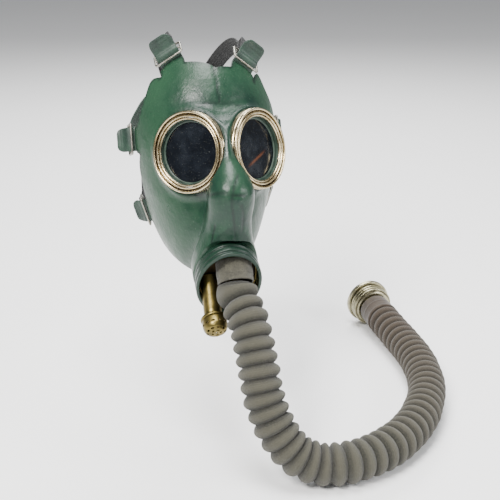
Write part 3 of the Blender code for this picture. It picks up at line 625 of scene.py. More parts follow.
def metal_look(name, bright, dull, dirt, roughness):
    """Worn plated metal: bright on the whole, dull in patches, dirty in its hollows."""
    look = Look(name, metallic=1.0)
    patches = look.between(look.noise(0.014, 5, 0.65), 0.38, 0.66)
    colour = look.mix(patches, bright, dull)
    hollow = look.node("NewGeometry").outputs["Pointiness"]
    dirty = look.between(hollow, 0.50, 0.44, 0.0, METAL_GRIME)
    spots = look.between(look.noise(0.0022, 4, 0.7), 0.58, 0.72, 0.0, METAL_GRIME)
    colour = look.mix(look.maths("MAXIMUM", dirty, spots), colour, dirt)
    colour = look.mix(look.attribute("grime"), colour, dirt)
    rough = look.between(look.noise(0.006, 5), 0.3, 0.7, roughness, roughness + METAL_SPREAD)
    rough = look.maths("ADD", rough, look.maths("MULTIPLY", spots, 0.3))
    look.bump(look.noise(0.0012, 3), 0.00005, 0.5)
    return look.finish(colour, rough)


def plain_rubber_look(name, cloud, dark, pale, smooth, rough):
    """Old rubber that is hardly seen: cloudy, with a fine grain."""
    look = Look(name)
    colour = look.mix(look.between(look.noise(cloud), 0.4, 0.7), dark, pale)
    look.bump(look.noise(0.001), 0.0001, 0.4)
    return look.finish(colour, look.between(look.noise(0.006), 0.3, 0.7, smooth, rough))


def black_rubber_look():
    return plain_rubber_look("old_black_rubber", 0.004, BLACK_RUBBER, BLACK_RUBBER_WORN, 0.45, 0.7)


def glass_look():
    """Dusty, stained glass over a dark interior."""
    look = Look("dusty_glass", Coat_Weight=0.25, Coat_Roughness=0.03, Specular_IOR_Level=0.3)
    mist = look.between(look.noise(0.016, 5, 0.65), 0.42, 0.78)
    stains = look.between(look.noise(0.0035, 5, 0.75), 0.58, 0.80)
    specks = look.between(look.noise(0.0009, 1), 0.70, 0.76)
    colour = look.mix(mist, GLASS_DARK, GLASS_MIST)
    colour = look.mix(look.maths("MULTIPLY", stains, 0.5), colour, GLASS_STAIN)
    colour = look.mix(look.maths("MULTIPLY", specks, 0.5), colour, GLASS_DUST)
    colour = look.mix(look.attribute("streak"), colour, GLASS_STREAK)
    roughness = look.between(mist, 0.0, 1.0, 0.12, 0.4)
    return look.finish(colour, roughness)


def mica_look():
    look = Look("valve_disc")
    colour = look.mix(look.noise(0.004), MICA_DARK, MICA_PALE)
    return look.finish(colour, look.noise(0.004))


def knit_look():
    """Stockinette sleeve: columns of small knitted loops, browner to one end, with painted highlight on the
    ridges and painted shade in the valleys and between the loops.
    """
    look = Look("stockinette", roughness=0.95, Sheen_Weight=0.12, Sheen_Roughness=0.5)
    uv = look.nodes["Texture Coordinate"].outputs["UV"]
    parts = look.node("SeparateXYZ", {0: uv}).outputs
    across = look.maths("MULTIPLY", parts[0], math.tau / KNIT_WIDTH)
    slant = look.maths("MULTIPLY", look.maths("ABSOLUTE", look.maths("SINE", across)), 1.6)
    along = look.maths("MULTIPLY", parts[1], math.tau / KNIT_HEIGHT)
    loops = look.maths("SINE", look.maths("ADD", along, slant))
    ribs = look.maths("COSINE", look.maths("MULTIPLY", across, 2.0))
    weave = look.maths("ADD", look.maths("MULTIPLY", loops, 0.5), look.maths("MULTIPLY", ribs, 0.5))
    weave = look.between(weave, -1.0, 1.0)
    cloudy = look.between(look.noise(0.03, 5, 0.65), 0.35, 0.68)
    fuzz = look.noise(0.0011, 3, 0.8)
    colour = look.mix(cloudy, KNIT_DARK, KNIT_MID)
    colour = look.mix(look.attribute("far"), colour, KNIT_BROWN)
    # The crest colour serves the painted highlight on the ridges and the pale fuzz
    crest = look.mix(look.attribute("far"), KNIT_PALE, KNIT_FAR)
    # Painted highlight: the crests of the ridges are made paler
    colour = look.mix(look.between(look.attribute("ridge"), 0.6, 1.0, 0.0, 0.5), colour, crest)
    # Painted shade: the valleys between the ridges are made darker
    colour = look.mix(look.between(look.attribute("ridge"), 0.0, 0.75, 0.9, 0.0), colour, KNIT_SHADE)
    # Painted shade: darker between the knitted loops
    colour = look.mix(look.between(weave, 0.0, 0.55, 0.25, 0.0), colour, KNIT_SHADE)
    colour = look.mix(look.between(fuzz, 0.48, 0.75, 0.0, 0.6), colour, crest)
    look.bump(weave, 0.0002, 0.6)
    look.bump(fuzz, 0.0008, 0.9)
    return look.finish(colour)


def knit_cuff_look(name, dark, pale):
    """The sleeve's smooth taped ends: the same cloth, pressed flat and grimy."""
    look = Look(name, roughness=0.9, Sheen_Weight=0.2, Sheen_Roughness=0.5)
    cloudy = look.between(look.noise(0.008, 5, 0.7), 0.35, 0.7)
    stretched = look.node("Mapping", {"Vector": look.place, "Scale": (900, 900, 500)}).outputs[0]
    threads = look.noise(1.0, 2, 0.5, stretched)
    colour = look.mix(cloudy, dark, pale)
    # Painted shade: darker between the threads of the cloth
    colour = look.mix(look.between(threads, 0.45, 0.7, 0.0, 0.45), colour, KNIT_SHADE)
    look.bump(threads, 0.0003, 0.7)
    return look.finish(colour)


def webbing_look(name, dark, pale):
    """Woven elastic: fine ribs along the strap, crossed by the weft."""
    look = Look(name, roughness=0.85, Sheen_Weight=0.05, Sheen_Roughness=0.5)
    uv = look.nodes["Texture Coordinate"].outputs["UV"]
    parts = look.node("SeparateXYZ", {0: uv}).outputs
    ribs = look.maths("SINE", look.maths("MULTIPLY", parts[0], math.tau / WEB_RIB))
    weft = look.maths("SINE", look.maths("MULTIPLY", parts[1], math.tau / WEB_WEFT))
    weave = look.between(look.maths("ADD", ribs, look.maths("MULTIPLY", weft, 0.6)), -1.6, 1.6)
    worn = look.between(look.noise(0.008, 5, 0.7), 0.45, 0.7, 0.0, 0.6)
    colour = look.mix(look.between(weave, 0.2, 0.8), dark, pale)
    colour = look.mix(worn, colour, pale)
    look.bump(weave, 0.00022, 0.9)
    look.bump(look.noise(0.0008), 0.0001, 0.5)
    return look.finish(colour)


def floor_look():
    look = Look("studio_floor", roughness=0.8)
    return look.finish(look.mix(look.noise(0.5, 2), FLOOR_DULL, FLOOR_PALE))


# ---- mesh helpers

PIPE_SIDES = 64
WIRE_SIDES = 16
STRIP_CORNERS = 5


def closed_mesh(verts, faces, uvs=None):
    """A mesh with its faces outward; uvs holds one pair for each corner of each face."""
    mesh = bpy.data.meshes.new("piece")
    mesh.from_pydata([tuple(v) for v in verts], [], faces)
    if uvs:
        layer = mesh.uv_layers.new(name="UVMap")
        layer.data.foreach_set("uv", np.array([pair for face in uvs for pair in face], dtype=float).ravel())
    work = bmesh.new()
    work.from_mesh(mesh)
    bmesh.ops.recalc_face_normals(work, faces=work.faces)
    work.to_mesh(mesh)
    work.free()
    return mesh


def in_scene(name, data):
    made = bpy.data.objects.new(name, data)
    bpy.context.collection.objects.link(made)
    return made


def piece(name, mesh, look, body, nodes=(), angle=40):
    """Puts a mesh in the scene in place of CAD nodes; it moves with a CAD body, if one is given."""
    mesh.shade_smooth()
    mesh.set_sharp_from_angle(angle=math.radians(angle))
    mesh.materials.clear()
    mesh.materials.append(look)
    made = in_scene(name, mesh)
    if body:
        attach(made, body)
    if nodes:
        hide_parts(*nodes)
    return made


def net_mesh(net, matrix=None, loop=False, uv=None):
    """Rows of points joined into a skin: each row is a ring, and with loop the last row meets the first."""
    net = np.asarray(net, dtype=float)
    rows, columns = net.shape[:2]
    verts = net.reshape(-1, 3)
    if matrix is not None:
        turn = np.array(matrix)
        verts = verts @ turn[:3, :3].T + turn[:3, 3]
    faces, uvs = [], []
    for row in range(rows if loop else rows - 1):
        for a in range(columns):
            b, up = (a + 1) % columns, (row + 1) % rows
            faces.append((row * columns + a, row * columns + b, up * columns + b, up * columns + a))
            if uv:
                us, vs = uv
                uvs.append([(us[a], vs[row]), (us[a + 1], vs[row]), (us[a + 1], vs[row + 1]),
                            (us[a], vs[row + 1])])
    if not loop:
        for row in (0, rows - 1):
            faces.append(tuple(range(row * columns, (row + 1) * columns)))
            if uv:
                uvs.append([(u, uv[1][row]) for u in uv[0][:-1]])
    return closed_mesh(verts, faces, uvs)


def rounded(outline, radius, steps=3):
    """An outline in millimetres with its corners turned into small curves, in metres."""
    made = []
    for index, corner in enumerate(outline):
        corner = Vector(corner)
        before, after = Vector(outline[index - 1]), Vector(outline[(index + 1) % len(outline)])
        if corner.x == 0:
            made.append(tuple(corner * MM))
            continue
        start = corner + (before - corner) * min(0.45, radius / (before - corner).length)
        end = corner + (after - corner) * min(0.45, radius / (after - corner).length)
        for step in range(steps + 1):
            t = step / steps
            point = start * (1 - t) ** 2 + corner * 2 * t * (1 - t) + end * t * t
            made.append(tuple(point * MM))
    return made


def turned(profile, matrix, segments=96, oval=1.0):
    """A solid of revolution about the matrix's Z from a closed outline of (radius, z) in metres."""
    verts, rings = [], []
    for radius, z in profile:
        if radius < 1e-6:
            rings.append([len(verts)] * segments)
            verts.append(matrix @ Vector((0, 0, z)))
            continue
        rings.append(list(range(len(verts), len(verts) + segments)))
        for step in range(segments):
            angle = math.tau * step / segments
            verts.append(matrix @ Vector((radius * math.sin(angle), oval * radius * math.cos(angle), z)))
    faces = []
    for low, high in zip(rings, rings[1:] + rings[:1]):
        if low[0] == low[1] and high[0] == high[1]:
            continue
        for a in range(segments):
            b = (a + 1) % segments
            faces.append(list(dict.fromkeys([low[a], low[b], high[b], high[a]])))
    return closed_mesh(verts, faces)


def circle(point, side, up, radius, sides):
    """Points on a circle in the plane of two directions."""
    ring = []
    for step in range(sides):
        angle = math.tau * step / sides
        ring.append(list(point + radius * (math.cos(angle) * side + math.sin(angle) * up)))
    return ring


def tube_net(path, radii, sides):
    """Rings of points round a path."""
    return [circle(point, side, up, radius, sides)
            for point, (side, up, _), radius in zip(path, frames_along(path), radii)]


def open_pipe(path, outer, inner):
    """A tube open at both ends, with flat rims."""
    outside = tube_net(path, [outer] * len(path), PIPE_SIDES)
    inside = tube_net(path, [inner] * len(path), PIPE_SIDES)
    return net_mesh(outside + inside[::-1], loop=True)


def rod(radius, start, end):
    """Outline of a plain rod, for cutting a round hole."""
    return [(0, start), (radius, start), (radius, end), (0, end)]


def strip(path, normals, widths, thicks, matrix=None):
    """A flat strip with rounded edges along a path; its UV runs across and along it in metres."""
    count = len(path)
    net, travelled = [], [0.0]
    for index in range(count):
        point, normal = Vector(path[index]), Vector(normals[index])
        forward = (Vector(path[min(index + 1, count - 1)]) - Vector(path[max(index - 1, 0)])).normalized()
        side = forward.cross(normal).normalized()
        up = side.cross(forward).normalized()
        half, edge = widths[index] / 2, thicks[index] / 2
        ring = []
        for way, start in ((1, -90), (-1, 90)):
            for step in range(STRIP_CORNERS + 1):
                angle = math.radians(start + 180 * step / STRIP_CORNERS)
                across = way * (half - edge) + edge * math.cos(angle)
                ring.append(point + side * across + up * edge * math.sin(angle))
            for share in (0.25, 0.5, 0.75):
                across = way * (half - edge) * (1 - 2 * share)
                ring.append(point + side * across + up * edge * way)
        net.append([list(p) for p in ring])
        if index:
            travelled.append(travelled[-1] + (Vector(path[index]) - Vector(path[index - 1])).length)
    round_trip = np.linspace(0, 2 * max(widths), len(net[0]) + 1)
    return net_mesh(net, matrix, uv=(list(round_trip), travelled))


def wire(path, radius):
    """A round wire bent into a closed loop."""
    net, count = [], len(path)
    normal = (path[count // 4] - path[0]).cross(path[count // 2] - path[0]).normalized()
    for index, point in enumerate(path):
        forward = (path[(index + 1) % count] - path[index - 1]).normalized()
        side = forward.cross(normal).normalized()
        net.append(circle(point, side, side.cross(forward), radius, WIRE_SIDES))
    return net_mesh(net, loop=True)


def set_attribute(mesh, name, values):
    """Stores a number at each vertex, for a material to read."""
    mesh.attributes.new(name, "FLOAT", "POINT").data.foreach_set("value", np.asarray(values, dtype=float))


def about(mesh, matrix):
    """Distance of each vertex from a matrix's Z axis, and its place along it."""
    turn = np.array(matrix.inverted())
    local = points_of(mesh) @ turn[:3, :3].T + turn[:3, 3]
    return np.hypot(local[:, 0], local[:, 1]), local[:, 2]


def points_of(mesh):
    found = np.empty(len(mesh.vertices) * 3)
    mesh.vertices.foreach_get("co", found)
    return found.reshape(-1, 3)


# ---- camera and floor

TILT = Matrix.Rotation(MASK_TILT, 4, "X")
FLOOR_HEIGHT = -0.2365


CAMERA_PLACE = (-0.141, -0.8605, 0.2341)
CAMERA_RIGHT = (0.9781, -0.2079, 0)
CAMERA_UP = (0.0745, 0.3505, 0.9336)
CAMERA_BACK = (-0.1941, -0.9132, 0.3584)
LENS = 64.8
SENSOR = 36
FLOOR_REACH = 12
SKY = (0.95, 0.97, 1.0, 1)
SKY_STRENGTH = 0.34
LIGHT_AIM = Vector((0.03, -0.08, -0.05))

# name, place, size, power and colour of each area light
LIGHTS = [
    ("key", (-0.9, -1.1, 1.3), 0.6, 62, (1.0, 0.98, 0.95)),
    ("fill", (1.4, -1.0, 0.6), 0.8, 24, (1, 1, 1)),
    ("rim", (0.3, 1.2, 1.2), 0.9, 34, (1, 1, 1)),
    ("top", (0.0, -0.2, 1.6), 0.8, 44, (1, 1, 1)),
]


def add_camera():
    camera = bpy.data.cameras.new("camera")
    camera.lens = LENS
    camera.sensor_width = SENSOR
    camera.clip_start = 0.01
    camera.dof.use_dof = False
    made = in_scene("camera", camera)
    made.matrix_world = placed(CAMERA_PLACE, CAMERA_RIGHT, CAMERA_UP, CAMERA_BACK)
    bpy.context.scene.camera = made


def add_studio():
    floor = bpy.data.meshes.new("floor")
    signs = ((-1, -1), (1, -1), (1, 1), (-1, 1))
    corners = [(x * FLOOR_REACH, y * FLOOR_REACH, FLOOR_HEIGHT) for x, y in signs]
    floor.from_pydata(corners, [], [(0, 1, 2, 3)])
    floor.materials.append(floor_look())
    in_scene("floor", floor)
    world = bpy.data.worlds.new("studio")
    world.use_nodes = True
    sky = world.node_tree.nodes["Background"].inputs
    sky["Color"].default_value = SKY
    sky["Strength"].default_value = SKY_STRENGTH
    bpy.context.scene.world = world
    for name, place, size, power, colour in LIGHTS:
        lamp = bpy.data.lights.new(name, "AREA")
        lamp.energy = power
        lamp.size = size
        lamp.color = colour
        way = LIGHT_AIM - Vector(place)
        turn = way.to_track_quat("-Z", "Y").to_matrix().to_4x4()
        in_scene(name, lamp).matrix_world = Matrix.Translation(place) @ turn


# ---- hose

RIDGES = 45
RINGS_PER_RIDGE = 12
FIRST_RIDGE = 1.6
HOSE_SIDES = 64
CREST_RADIUS = 18.6 * MM
CREST_SHAPE = 0.72
SWELL_MM = 0.25
TROUGH_MM = 13.0
TROUGH_RISE_MM = 2.4
SLEEVE_ROUND = 0.105
BROWN_FROM = 0.45

# Sizes of the hose's end along its axis, in millimetres
NUT_RIDGES = 3
NUT_RIDGE_START = 29.6
NUT_RIDGE_PITCH = 4.3
THREAD_RADIUS = 20.2
THREAD_DEPTH = 0.4
THREAD_TOP = 45.4
THREAD_STEP = 0.95
THREAD_STEPS = 14


def hose_route():
    """Centreline of the hose, in metres."""
    way = TILT.to_3x3() @ port_direction(HOSE_PORT)
    start = TILT @ port_point(HOSE_PORT, CUFF_START) + way * 20.3 * MM
    return smooth_curve([start, start + way * 9 * MM] + [Vector(p) * MM for p in HOSE_ROUTE],
                        round((RIDGES + FIRST_RIDGE - 1) * RINGS_PER_RIDGE) + 1)


def build_hose():
    """The corrugated hose in its knitted sleeve, and its centreline."""
    path = hose_route()
    random = np.random.default_rng(4)
    swell = [float(value) * MM for value in random.uniform(-SWELL_MM, SWELL_MM, RIDGES + 1)]
    radii, ridge, far = [], [], []
    for index in range(len(path)):
        turn = index / RINGS_PER_RIDGE
        turn = turn / FIRST_RIDGE if turn < FIRST_RIDGE else turn + 1 - FIRST_RIDGE
        share = index / (len(path) - 1)
        wave = math.sin(math.pi * (turn % 1)) ** CREST_SHAPE
        crest = CREST_RADIUS + swell[min(RIDGES, int(turn))] * wave
        trough = (TROUGH_MM + TROUGH_RISE_MM * min(1, share * 1.3)) * MM
        radii.append(trough + (crest - trough) * wave)
        ridge.append(wave)
        far.append(max(0.0, (share - BROWN_FROM) / (1 - BROWN_FROM)))
    around = list(np.linspace(0, SLEEVE_ROUND, HOSE_SIDES + 1))
    mesh = net_mesh(tube_net(path, radii, HOSE_SIDES), uv=(around, arc(path)))
    set_attribute(mesh, "ridge", np.repeat(ridge, HOSE_SIDES))
    set_attribute(mesh, "far", np.repeat(far, HOSE_SIDES))
    made = piece("hose_sleeve", mesh, knit_look(), "mask", ["hose"], 75)
    return made, path


def arc(path):
    """Distance travelled at each point of a path."""
    steps = [(b - a).length for a, b in zip(path, path[1:])]
    return [0.0] + list(np.cumsum(steps))


def build_hose_end(point, way):
    """Cuff, nipple, gasket and union nut; Z runs out of the hose's end."""
    frame = looking_along(point, way)
    cuff = [(15.3, 0.3), (18.4, 0.3), (18.7, 2.5), (18.1, 5), (17.9, 12), (18.2, 14), (17.7, 16), (17.7, 24),
            (17.2, 26), (15.3, 26)]
    nipple = [(13.4, 2), (15.0, 2), (15.0, 30), (20.0, 30), (20.0, 32.5), (13.4, 32.5)]
    gasket = [(14.5, 32.8), (19.7, 32.8), (19.7, 34.8), (14.5, 34.8)]
    nut = [(15.6, 28.0), (19.2, 28.0), (21.2, 29.2)]
    for ridge in range(NUT_RIDGES):
        height = NUT_RIDGE_START + NUT_RIDGE_PITCH * ridge
        nut += [(20.9, height), (20.9, height + 0.9), (22.9, height + 1.5), (22.9, height + 3.7)]
    nut += [(21.0, 42.7), (21.0, 43.6), (25.0, 44.0), (25.5, 44.4), (25.5, 48.4), (24.8, 49.0), (23.0, 49.0),
            (22.2, 48.0), (20.6, 46.2)]
    for step in range(THREAD_STEPS):
        nut.append((THREAD_RADIUS + THREAD_DEPTH * (step % 2), THREAD_TOP - THREAD_STEP * step))
    nut += [(20.6, 31.4), (20.4, 29.4), (15.6, 29.4)]
    knit = knit_cuff_look("taped_cloth_brown", KNIT_BROWN, KNIT_FAR)
    metal = metal_look("nickel_worn", NICKEL, NICKEL_DULL, NICKEL_DIRT, 0.24)
    made = []
    for name, outline, radius, look, body, slot, node in (
        ("hose_end_sleeve", cuff, 0.8, knit, "mask", "hose_cloth", "hose_end_cuff"),
        ("hose_nipple", nipple, 0.6, metal, "mask", "nickel", "nipple"),
        ("hose_end_washer", gasket, 0.3, black_rubber_look(), "mask", "black_rubber", "nut_gasket"),
        ("coupling_nut", nut, 0.35, metal, "nut", "nickel", "union_nut"),
    ):
        mesh = turned(rounded(outline, radius), frame)
        if node == "union_nut":
            reach, height = about(mesh, frame)
            hollow = (reach < 21.7 * MM) & (height > 29 * MM) & (height < 44 * MM)
            set_attribute(mesh, "grime", 0.85 * hollow)
        made.append(piece(name, mesh, look, body, [node], 50))
    return made


# ---- facepiece

FINER = 6
EDGE_STEPS = 40 * COLUMNS
COLLAR_RINGS = 52
RIB_BOOST = 1.15
SEAM_WIDTH = 1.1 * MM
SEAM_DEPTH = 0.55 * MM
EDGE_SHADE = 2.2 * MM

# Lines of the seams on the forehead, nose and muzzle (mask frame, mm)
SEAM_LINES = [
    [(-2, -75, 79), (-2, -82, 64), (-1, -88, 43)],
    [(-21, -88, 41), (-11, -88, 43), (-1, -88, 43)],
    [(-1, -88, 43), (12, -86, 41), (24, -89, 37)],
    [(-27, -88, -39), (-16, -125, -39), (-8, -130, -39), (-1, -132, -41), (8, -130, -42)],
    [(-3, -132, -41), (-3, -129, -53), (-1, -123, -67), (0, -120, -80), (1, -118, -89)],
    [(-17, -115, -66), (-19, -112, -74), (-21, -111, -82)],
    [(5, -130, -50), (7, -125, -58), (7, -119, -72)],
    [(4, -126, -24), (0, -131, -32), (-3, -132, -41)],
]


def cut_away(mesh, cutters, solver="MANIFOLD"):
    """The mesh with the cutters' solids taken out of it."""
    target = in_scene("target", mesh)
    used = [target]
    for cutter in cutters:
        tool = in_scene("tool", cutter)
        used.append(tool)
        step = target.modifiers.new("cut", "BOOLEAN")
        step.operation, step.solver, step.object = "DIFFERENCE", solver, tool
    ready = target.evaluated_get(bpy.context.evaluated_depsgraph_get())
    made = bpy.data.meshes.new_from_object(ready)
    for thing in used:
        bpy.data.objects.remove(thing)
    return made


def finer(net, factor):
    """The net with that many times the rows and columns, filled in evenly."""
    net = np.concatenate([net, net[:, :1]], axis=1)
    across = np.arange((net.shape[1] - 1) * factor) / factor
    low = across.astype(int)
    net = net[:, low] + (net[:, low + 1] - net[:, low]) * (across - low)[None, :, None]
    down = np.arange((net.shape[0] - 1) * factor + 1) / factor
    low = np.minimum(down.astype(int), net.shape[0] - 2)
    return net[low] + (net[low + 1] - net[low]) * (down - low)[:, None, None]


def collar_ring(count, depth, swell):
    """Ring of points round the collar at one depth from its mouth."""
    right, up, outward = [np.array(axis) for axis in collar_axes()]
    turns = np.arange(count) * 2 * np.pi / count
    angles = (turns - COLLAR_WARP * np.sin(turns))[:, None]
    oval = right * np.sin(angles) + up * np.cos(angles) * COLLAR_OVAL
    return np.array(COLLAR_CENTRE) - outward * depth + oval * (COLLAR_HALF_WIDTH + swell)


def edge_points(count):
    """Points round the free edge of the mask."""
    outline = edge_outline()
    dense = np.array([list(p) for p in smooth_curve(outline + outline[:1], EDGE_STEPS + 1)])
    turns = np.arange(count) * 2 * np.pi / count
    return dense[np.rint(EDGE_STEPS * (turns + EDGE_WARP * np.sin(turns)) / (2 * np.pi)).astype(int)]


def line_distance(points, line):
    """Distance of each point from a line that is laid on the skin."""
    spots = np.array([list(p) for p in smooth_curve([Vector(p) * MM for p in line], 40)])
    for _ in range(4):
        spots -= field_normal(spots) * face_field(spots)[:, None]
    best = np.full(len(points), 1.0)
    for a, b in zip(spots, spots[1:]):
        t = np.clip((points - a) @ (b - a) / max((b - a) @ (b - a), 1e-12), 0, 1)
        best = np.minimum(best, np.linalg.norm(points - a - t[:, None] * (b - a), axis=1))
    return best


def groove(depth):
    """Depth of the two grooves round the collar, from 0 to 1."""
    return math.exp(-((depth - 4.1) / 0.9) ** 2) + math.exp(-((depth - 10.5) / 0.9) ** 2)


def build_facepiece():
    """The rubber shell, with the seats of the eyepieces cut into it."""
    hub = np.array(FACE_HUB)
    root = collar_ring(COLUMNS, COLLAR_DEPTH, -COLLAR_STEP)
    coarse = np.concatenate([root[None], face_net(root, edge_points(COLUMNS))])
    net = finer(coarse, FINER)
    columns = net.shape[1]
    net[0] = collar_ring(columns, COLLAR_DEPTH, -COLLAR_STEP)
    rim = edge_points(columns)
    net[-1] = outward_hit(np.tile(hub, (columns, 1)), unit(rim - hub))
    relax(net, FINE_NET_STEPS)
    outer, inner, axis = [], [], np.array(collar_axes()[2])
    for step in range(COLLAR_RINGS):
        depth = step * COLLAR_DEPTH / MM / COLLAR_RINGS
        taper = min(1.0, max(0.0, (depth - 11.6) / 5.4))
        lip = max(0.0, 1 - depth / 0.9)
        swell = -RIB_HEIGHT * RIB_BOOST * groove(depth) - COLLAR_STEP * taper - 0.5 * MM * lip ** 2
        outer.append(collar_ring(columns, depth * MM, swell))
        inner.append(collar_ring(columns, depth * MM, -COLLAR_WALL))
    outer.append(net[0])
    inner.append(collar_ring(columns, COLLAR_DEPTH, -COLLAR_WALL) - axis * COLLAR_FILLET)
    for skin in net[1:]:
        outer.append(skin)
        inner.append(skin - field_normal(skin) * RUBBER)
    mesh = net_mesh(np.array(outer + inner[::-1]), loop=True)
    cutters = []
    for side in (-1, 1):
        seat, ring = GAP / 2 - EYE_SEAT_DEPTH, EYE_RING_RADIUS + GAP
        bore = [(0, -CUT_DEPTH), (EYE_HOLE_RADIUS, -CUT_DEPTH), (EYE_HOLE_RADIUS, seat), (ring, seat),
                (ring, CUT_DEPTH), (0, CUT_DEPTH)]
        cutters.append(turned(bore, eye_matrix(side), EYE_SEGMENTS))
    mesh = cut_away(mesh, cutters)
    mark_rubber(mesh, net[-1])
    mesh.transform(TILT)
    piece("rubber_facepiece", mesh, rubber_look(), "mask", ["facepiece"], 50)


def mark_rubber(mesh, rim):
    """Presses the seams into the skin and stores where the rubber gets painted shade and painted sheen."""
    points = points_of(mesh)
    out = np.abs(face_field(points)) < 0.4 * MM
    _, _, outward = collar_axes()
    depth = -(points - np.array(COLLAR_CENTRE)) @ np.array(outward)
    seam_and_shade = np.zeros(len(points))
    for line in SEAM_LINES:
        seam_and_shade = np.maximum(seam_and_shade, np.exp(-(line_distance(points, line) / SEAM_WIDTH) ** 2))
    seam_and_shade *= out
    normals = field_normal(points)
    points = points - normals * (seam_and_shade * SEAM_DEPTH)[:, None]
    mesh.vertices.foreach_set("co", points.ravel())
    # Painted shade: the pressed seams are darkened
    dark = seam_and_shade * 0.85
    # Painted shade: darker in the collar's two grooves and over the whole collar under the muzzle
    ring = np.array([groove(d / MM) if 0 < d < COLLAR_DEPTH else 0 for d in depth])
    dark = np.maximum(dark, ring * 0.95)
    dark = np.maximum(dark, 0.5 * ((depth > -1 * MM) & (depth < COLLAR_DEPTH)))
    # Painted shade: a dark band along the free edge, where the rubber meets the head
    near = np.full(len(points), 1.0)
    for start in range(0, len(rim), 3):
        near = np.minimum(near, np.linalg.norm(points - rim[start], axis=1))
    dark = np.maximum(dark, np.clip(1.6 - near / EDGE_SHADE, 0, 0.8))
    # Painted shade: a dark ring on the rubber round each eyepiece
    for side in (-1, 1):
        height, radius = eye_place(points, side)
        around = np.clip(1 - (radius - EYE_RING_RADIUS) / (2.5 * MM), 0, 1) * (np.abs(height) < 20 * MM)
        dark = np.maximum(dark, around * 0.7)
    # Painted shade: the inside of the mask behind the collar is darkened
    inside = face_field(points) < -1.2 * MM
    dark = np.where(inside & (depth > COLLAR_DEPTH + 2 * MM), 0.7, dark)
    # Painted sheen: the cheeks, forehead, chin, lower cheeks and the ridge of the nose are made paler
    x, z = np.abs(points[:, 0] + 2 * MM) / MM, points[:, 2] / MM
    painted_sheen = np.clip((x - 34) / 30, 0, 0.75) + np.clip((z - 42) / 50, 0, 0.55)
    painted_sheen += np.clip((-z - 62) / 60, 0, 0.25) + np.clip((x - 12) / 60, 0, 0.25) * (z < -35)
    painted_sheen += 0.45 * np.exp(-((points[:, 0] / MM) / 9) ** 2) * (z > -45) * (z < -10)
    set_attribute(mesh, "seam_and_shade", np.clip(dark, 0, 1))
    set_attribute(mesh, "painted_sheen", np.clip(painted_sheen, 0, 0.9))


# ---- eyepieces

def build_eyepiece(side, letter, looks):
    """Rings, gasket, keeper and stained glass of one eyepiece."""
    frame = TILT @ eye_matrix(side)
    outer_ring = [
        (31.2, -7.0), (31.2, -1.7), (31.9, -0.8), (33.0, -1.2), (33.5, -2.8), (34.3, -2.8), (34.7, -0.8),
        (35.6, -0.1), (36.6, -0.7), (37.0, -2.4), (36.2, -3.5), (37.0, -4.6), (37.0, -9.1), (35.0, -9.1),
        (35.0, -7.0)]
    inner_ring = [(29.3, -4.2), (28.9, -2.9), (29.3, -2.0), (30.1, -1.7), (30.9, -2.4), (30.9, -4.2)]
    recess = [(29.0, -7.0), (29.0, -4.3), (30.9, -4.3), (30.9, -7.0)]
    gasket = [(26.9, -8.4), (26.9, -7.6), (27.6, -7.1), (30.8, -7.1), (30.8, -8.4)]
    keeper = [(27.4, -13.4), (27.4, -11.0), (30.6, -11.0), (30.6, -12.2), (29.4, -13.4)]
    for name, outline, radius, look, slot in (
        ("eye_ring", outer_ring, 0.6, looks["brass"], "pale_brass"),
        ("eye_inner_ring", inner_ring, 0.5, looks["brass"], "pale_brass"),
        ("eye_gasket", gasket, 0.3, looks["recess"], "black_rubber"),
        ("eye_keeper", keeper, 0.4, looks["black"], "black_rubber"),
    ):
        mesh = turned(rounded(outline, radius, 4), frame, EYE_SEGMENTS)
        if name == "eye_ring":
            reach, height = about(mesh, frame)
            hollow = np.abs(reach - 33.9 * MM) < 0.7 * MM
            hollow |= (reach < 36.5 * MM) & (np.abs(height + 3.5 * MM) < 0.7 * MM)
            set_attribute(mesh, "grime", 0.75 * (hollow & (height < -1.4 * MM)))
        piece("%s_%s_made" % (name, letter), mesh, look, "mask", ["%s_%s" % (name, letter)], 60)
    mesh = turned(rounded(recess, 0.3), frame, EYE_SEGMENTS)
    piece("eye_recess_%s_made" % letter, mesh, looks["recess"], "mask")
    profile = [(radius * MM, -10.7 * MM) for radius in (0, 8, 16, 24, 30.5)]
    profile += [(radius * MM, -8.7 * MM) for radius in [30.5] + list(range(29, -1, -1))]
    mesh = turned(profile, frame, EYE_SEGMENTS)
    local = points_of(mesh) - np.array(frame.translation)
    u, v = [local @ np.array(frame.to_3x3().col[axis]) / MM for axis in (0, 1)]
    streak = np.exp(-((v + 10 - 0.55 * u) / 1.3) ** 2) * np.exp(-((u - 2) / 11) ** 4) * (side > 0)
    set_attribute(mesh, "streak", streak * 0.75)
    node = "eye_glass_" + letter
    piece(node + "_made", mesh, looks["glass"], "mask", [node], 60)


# ---- valve box

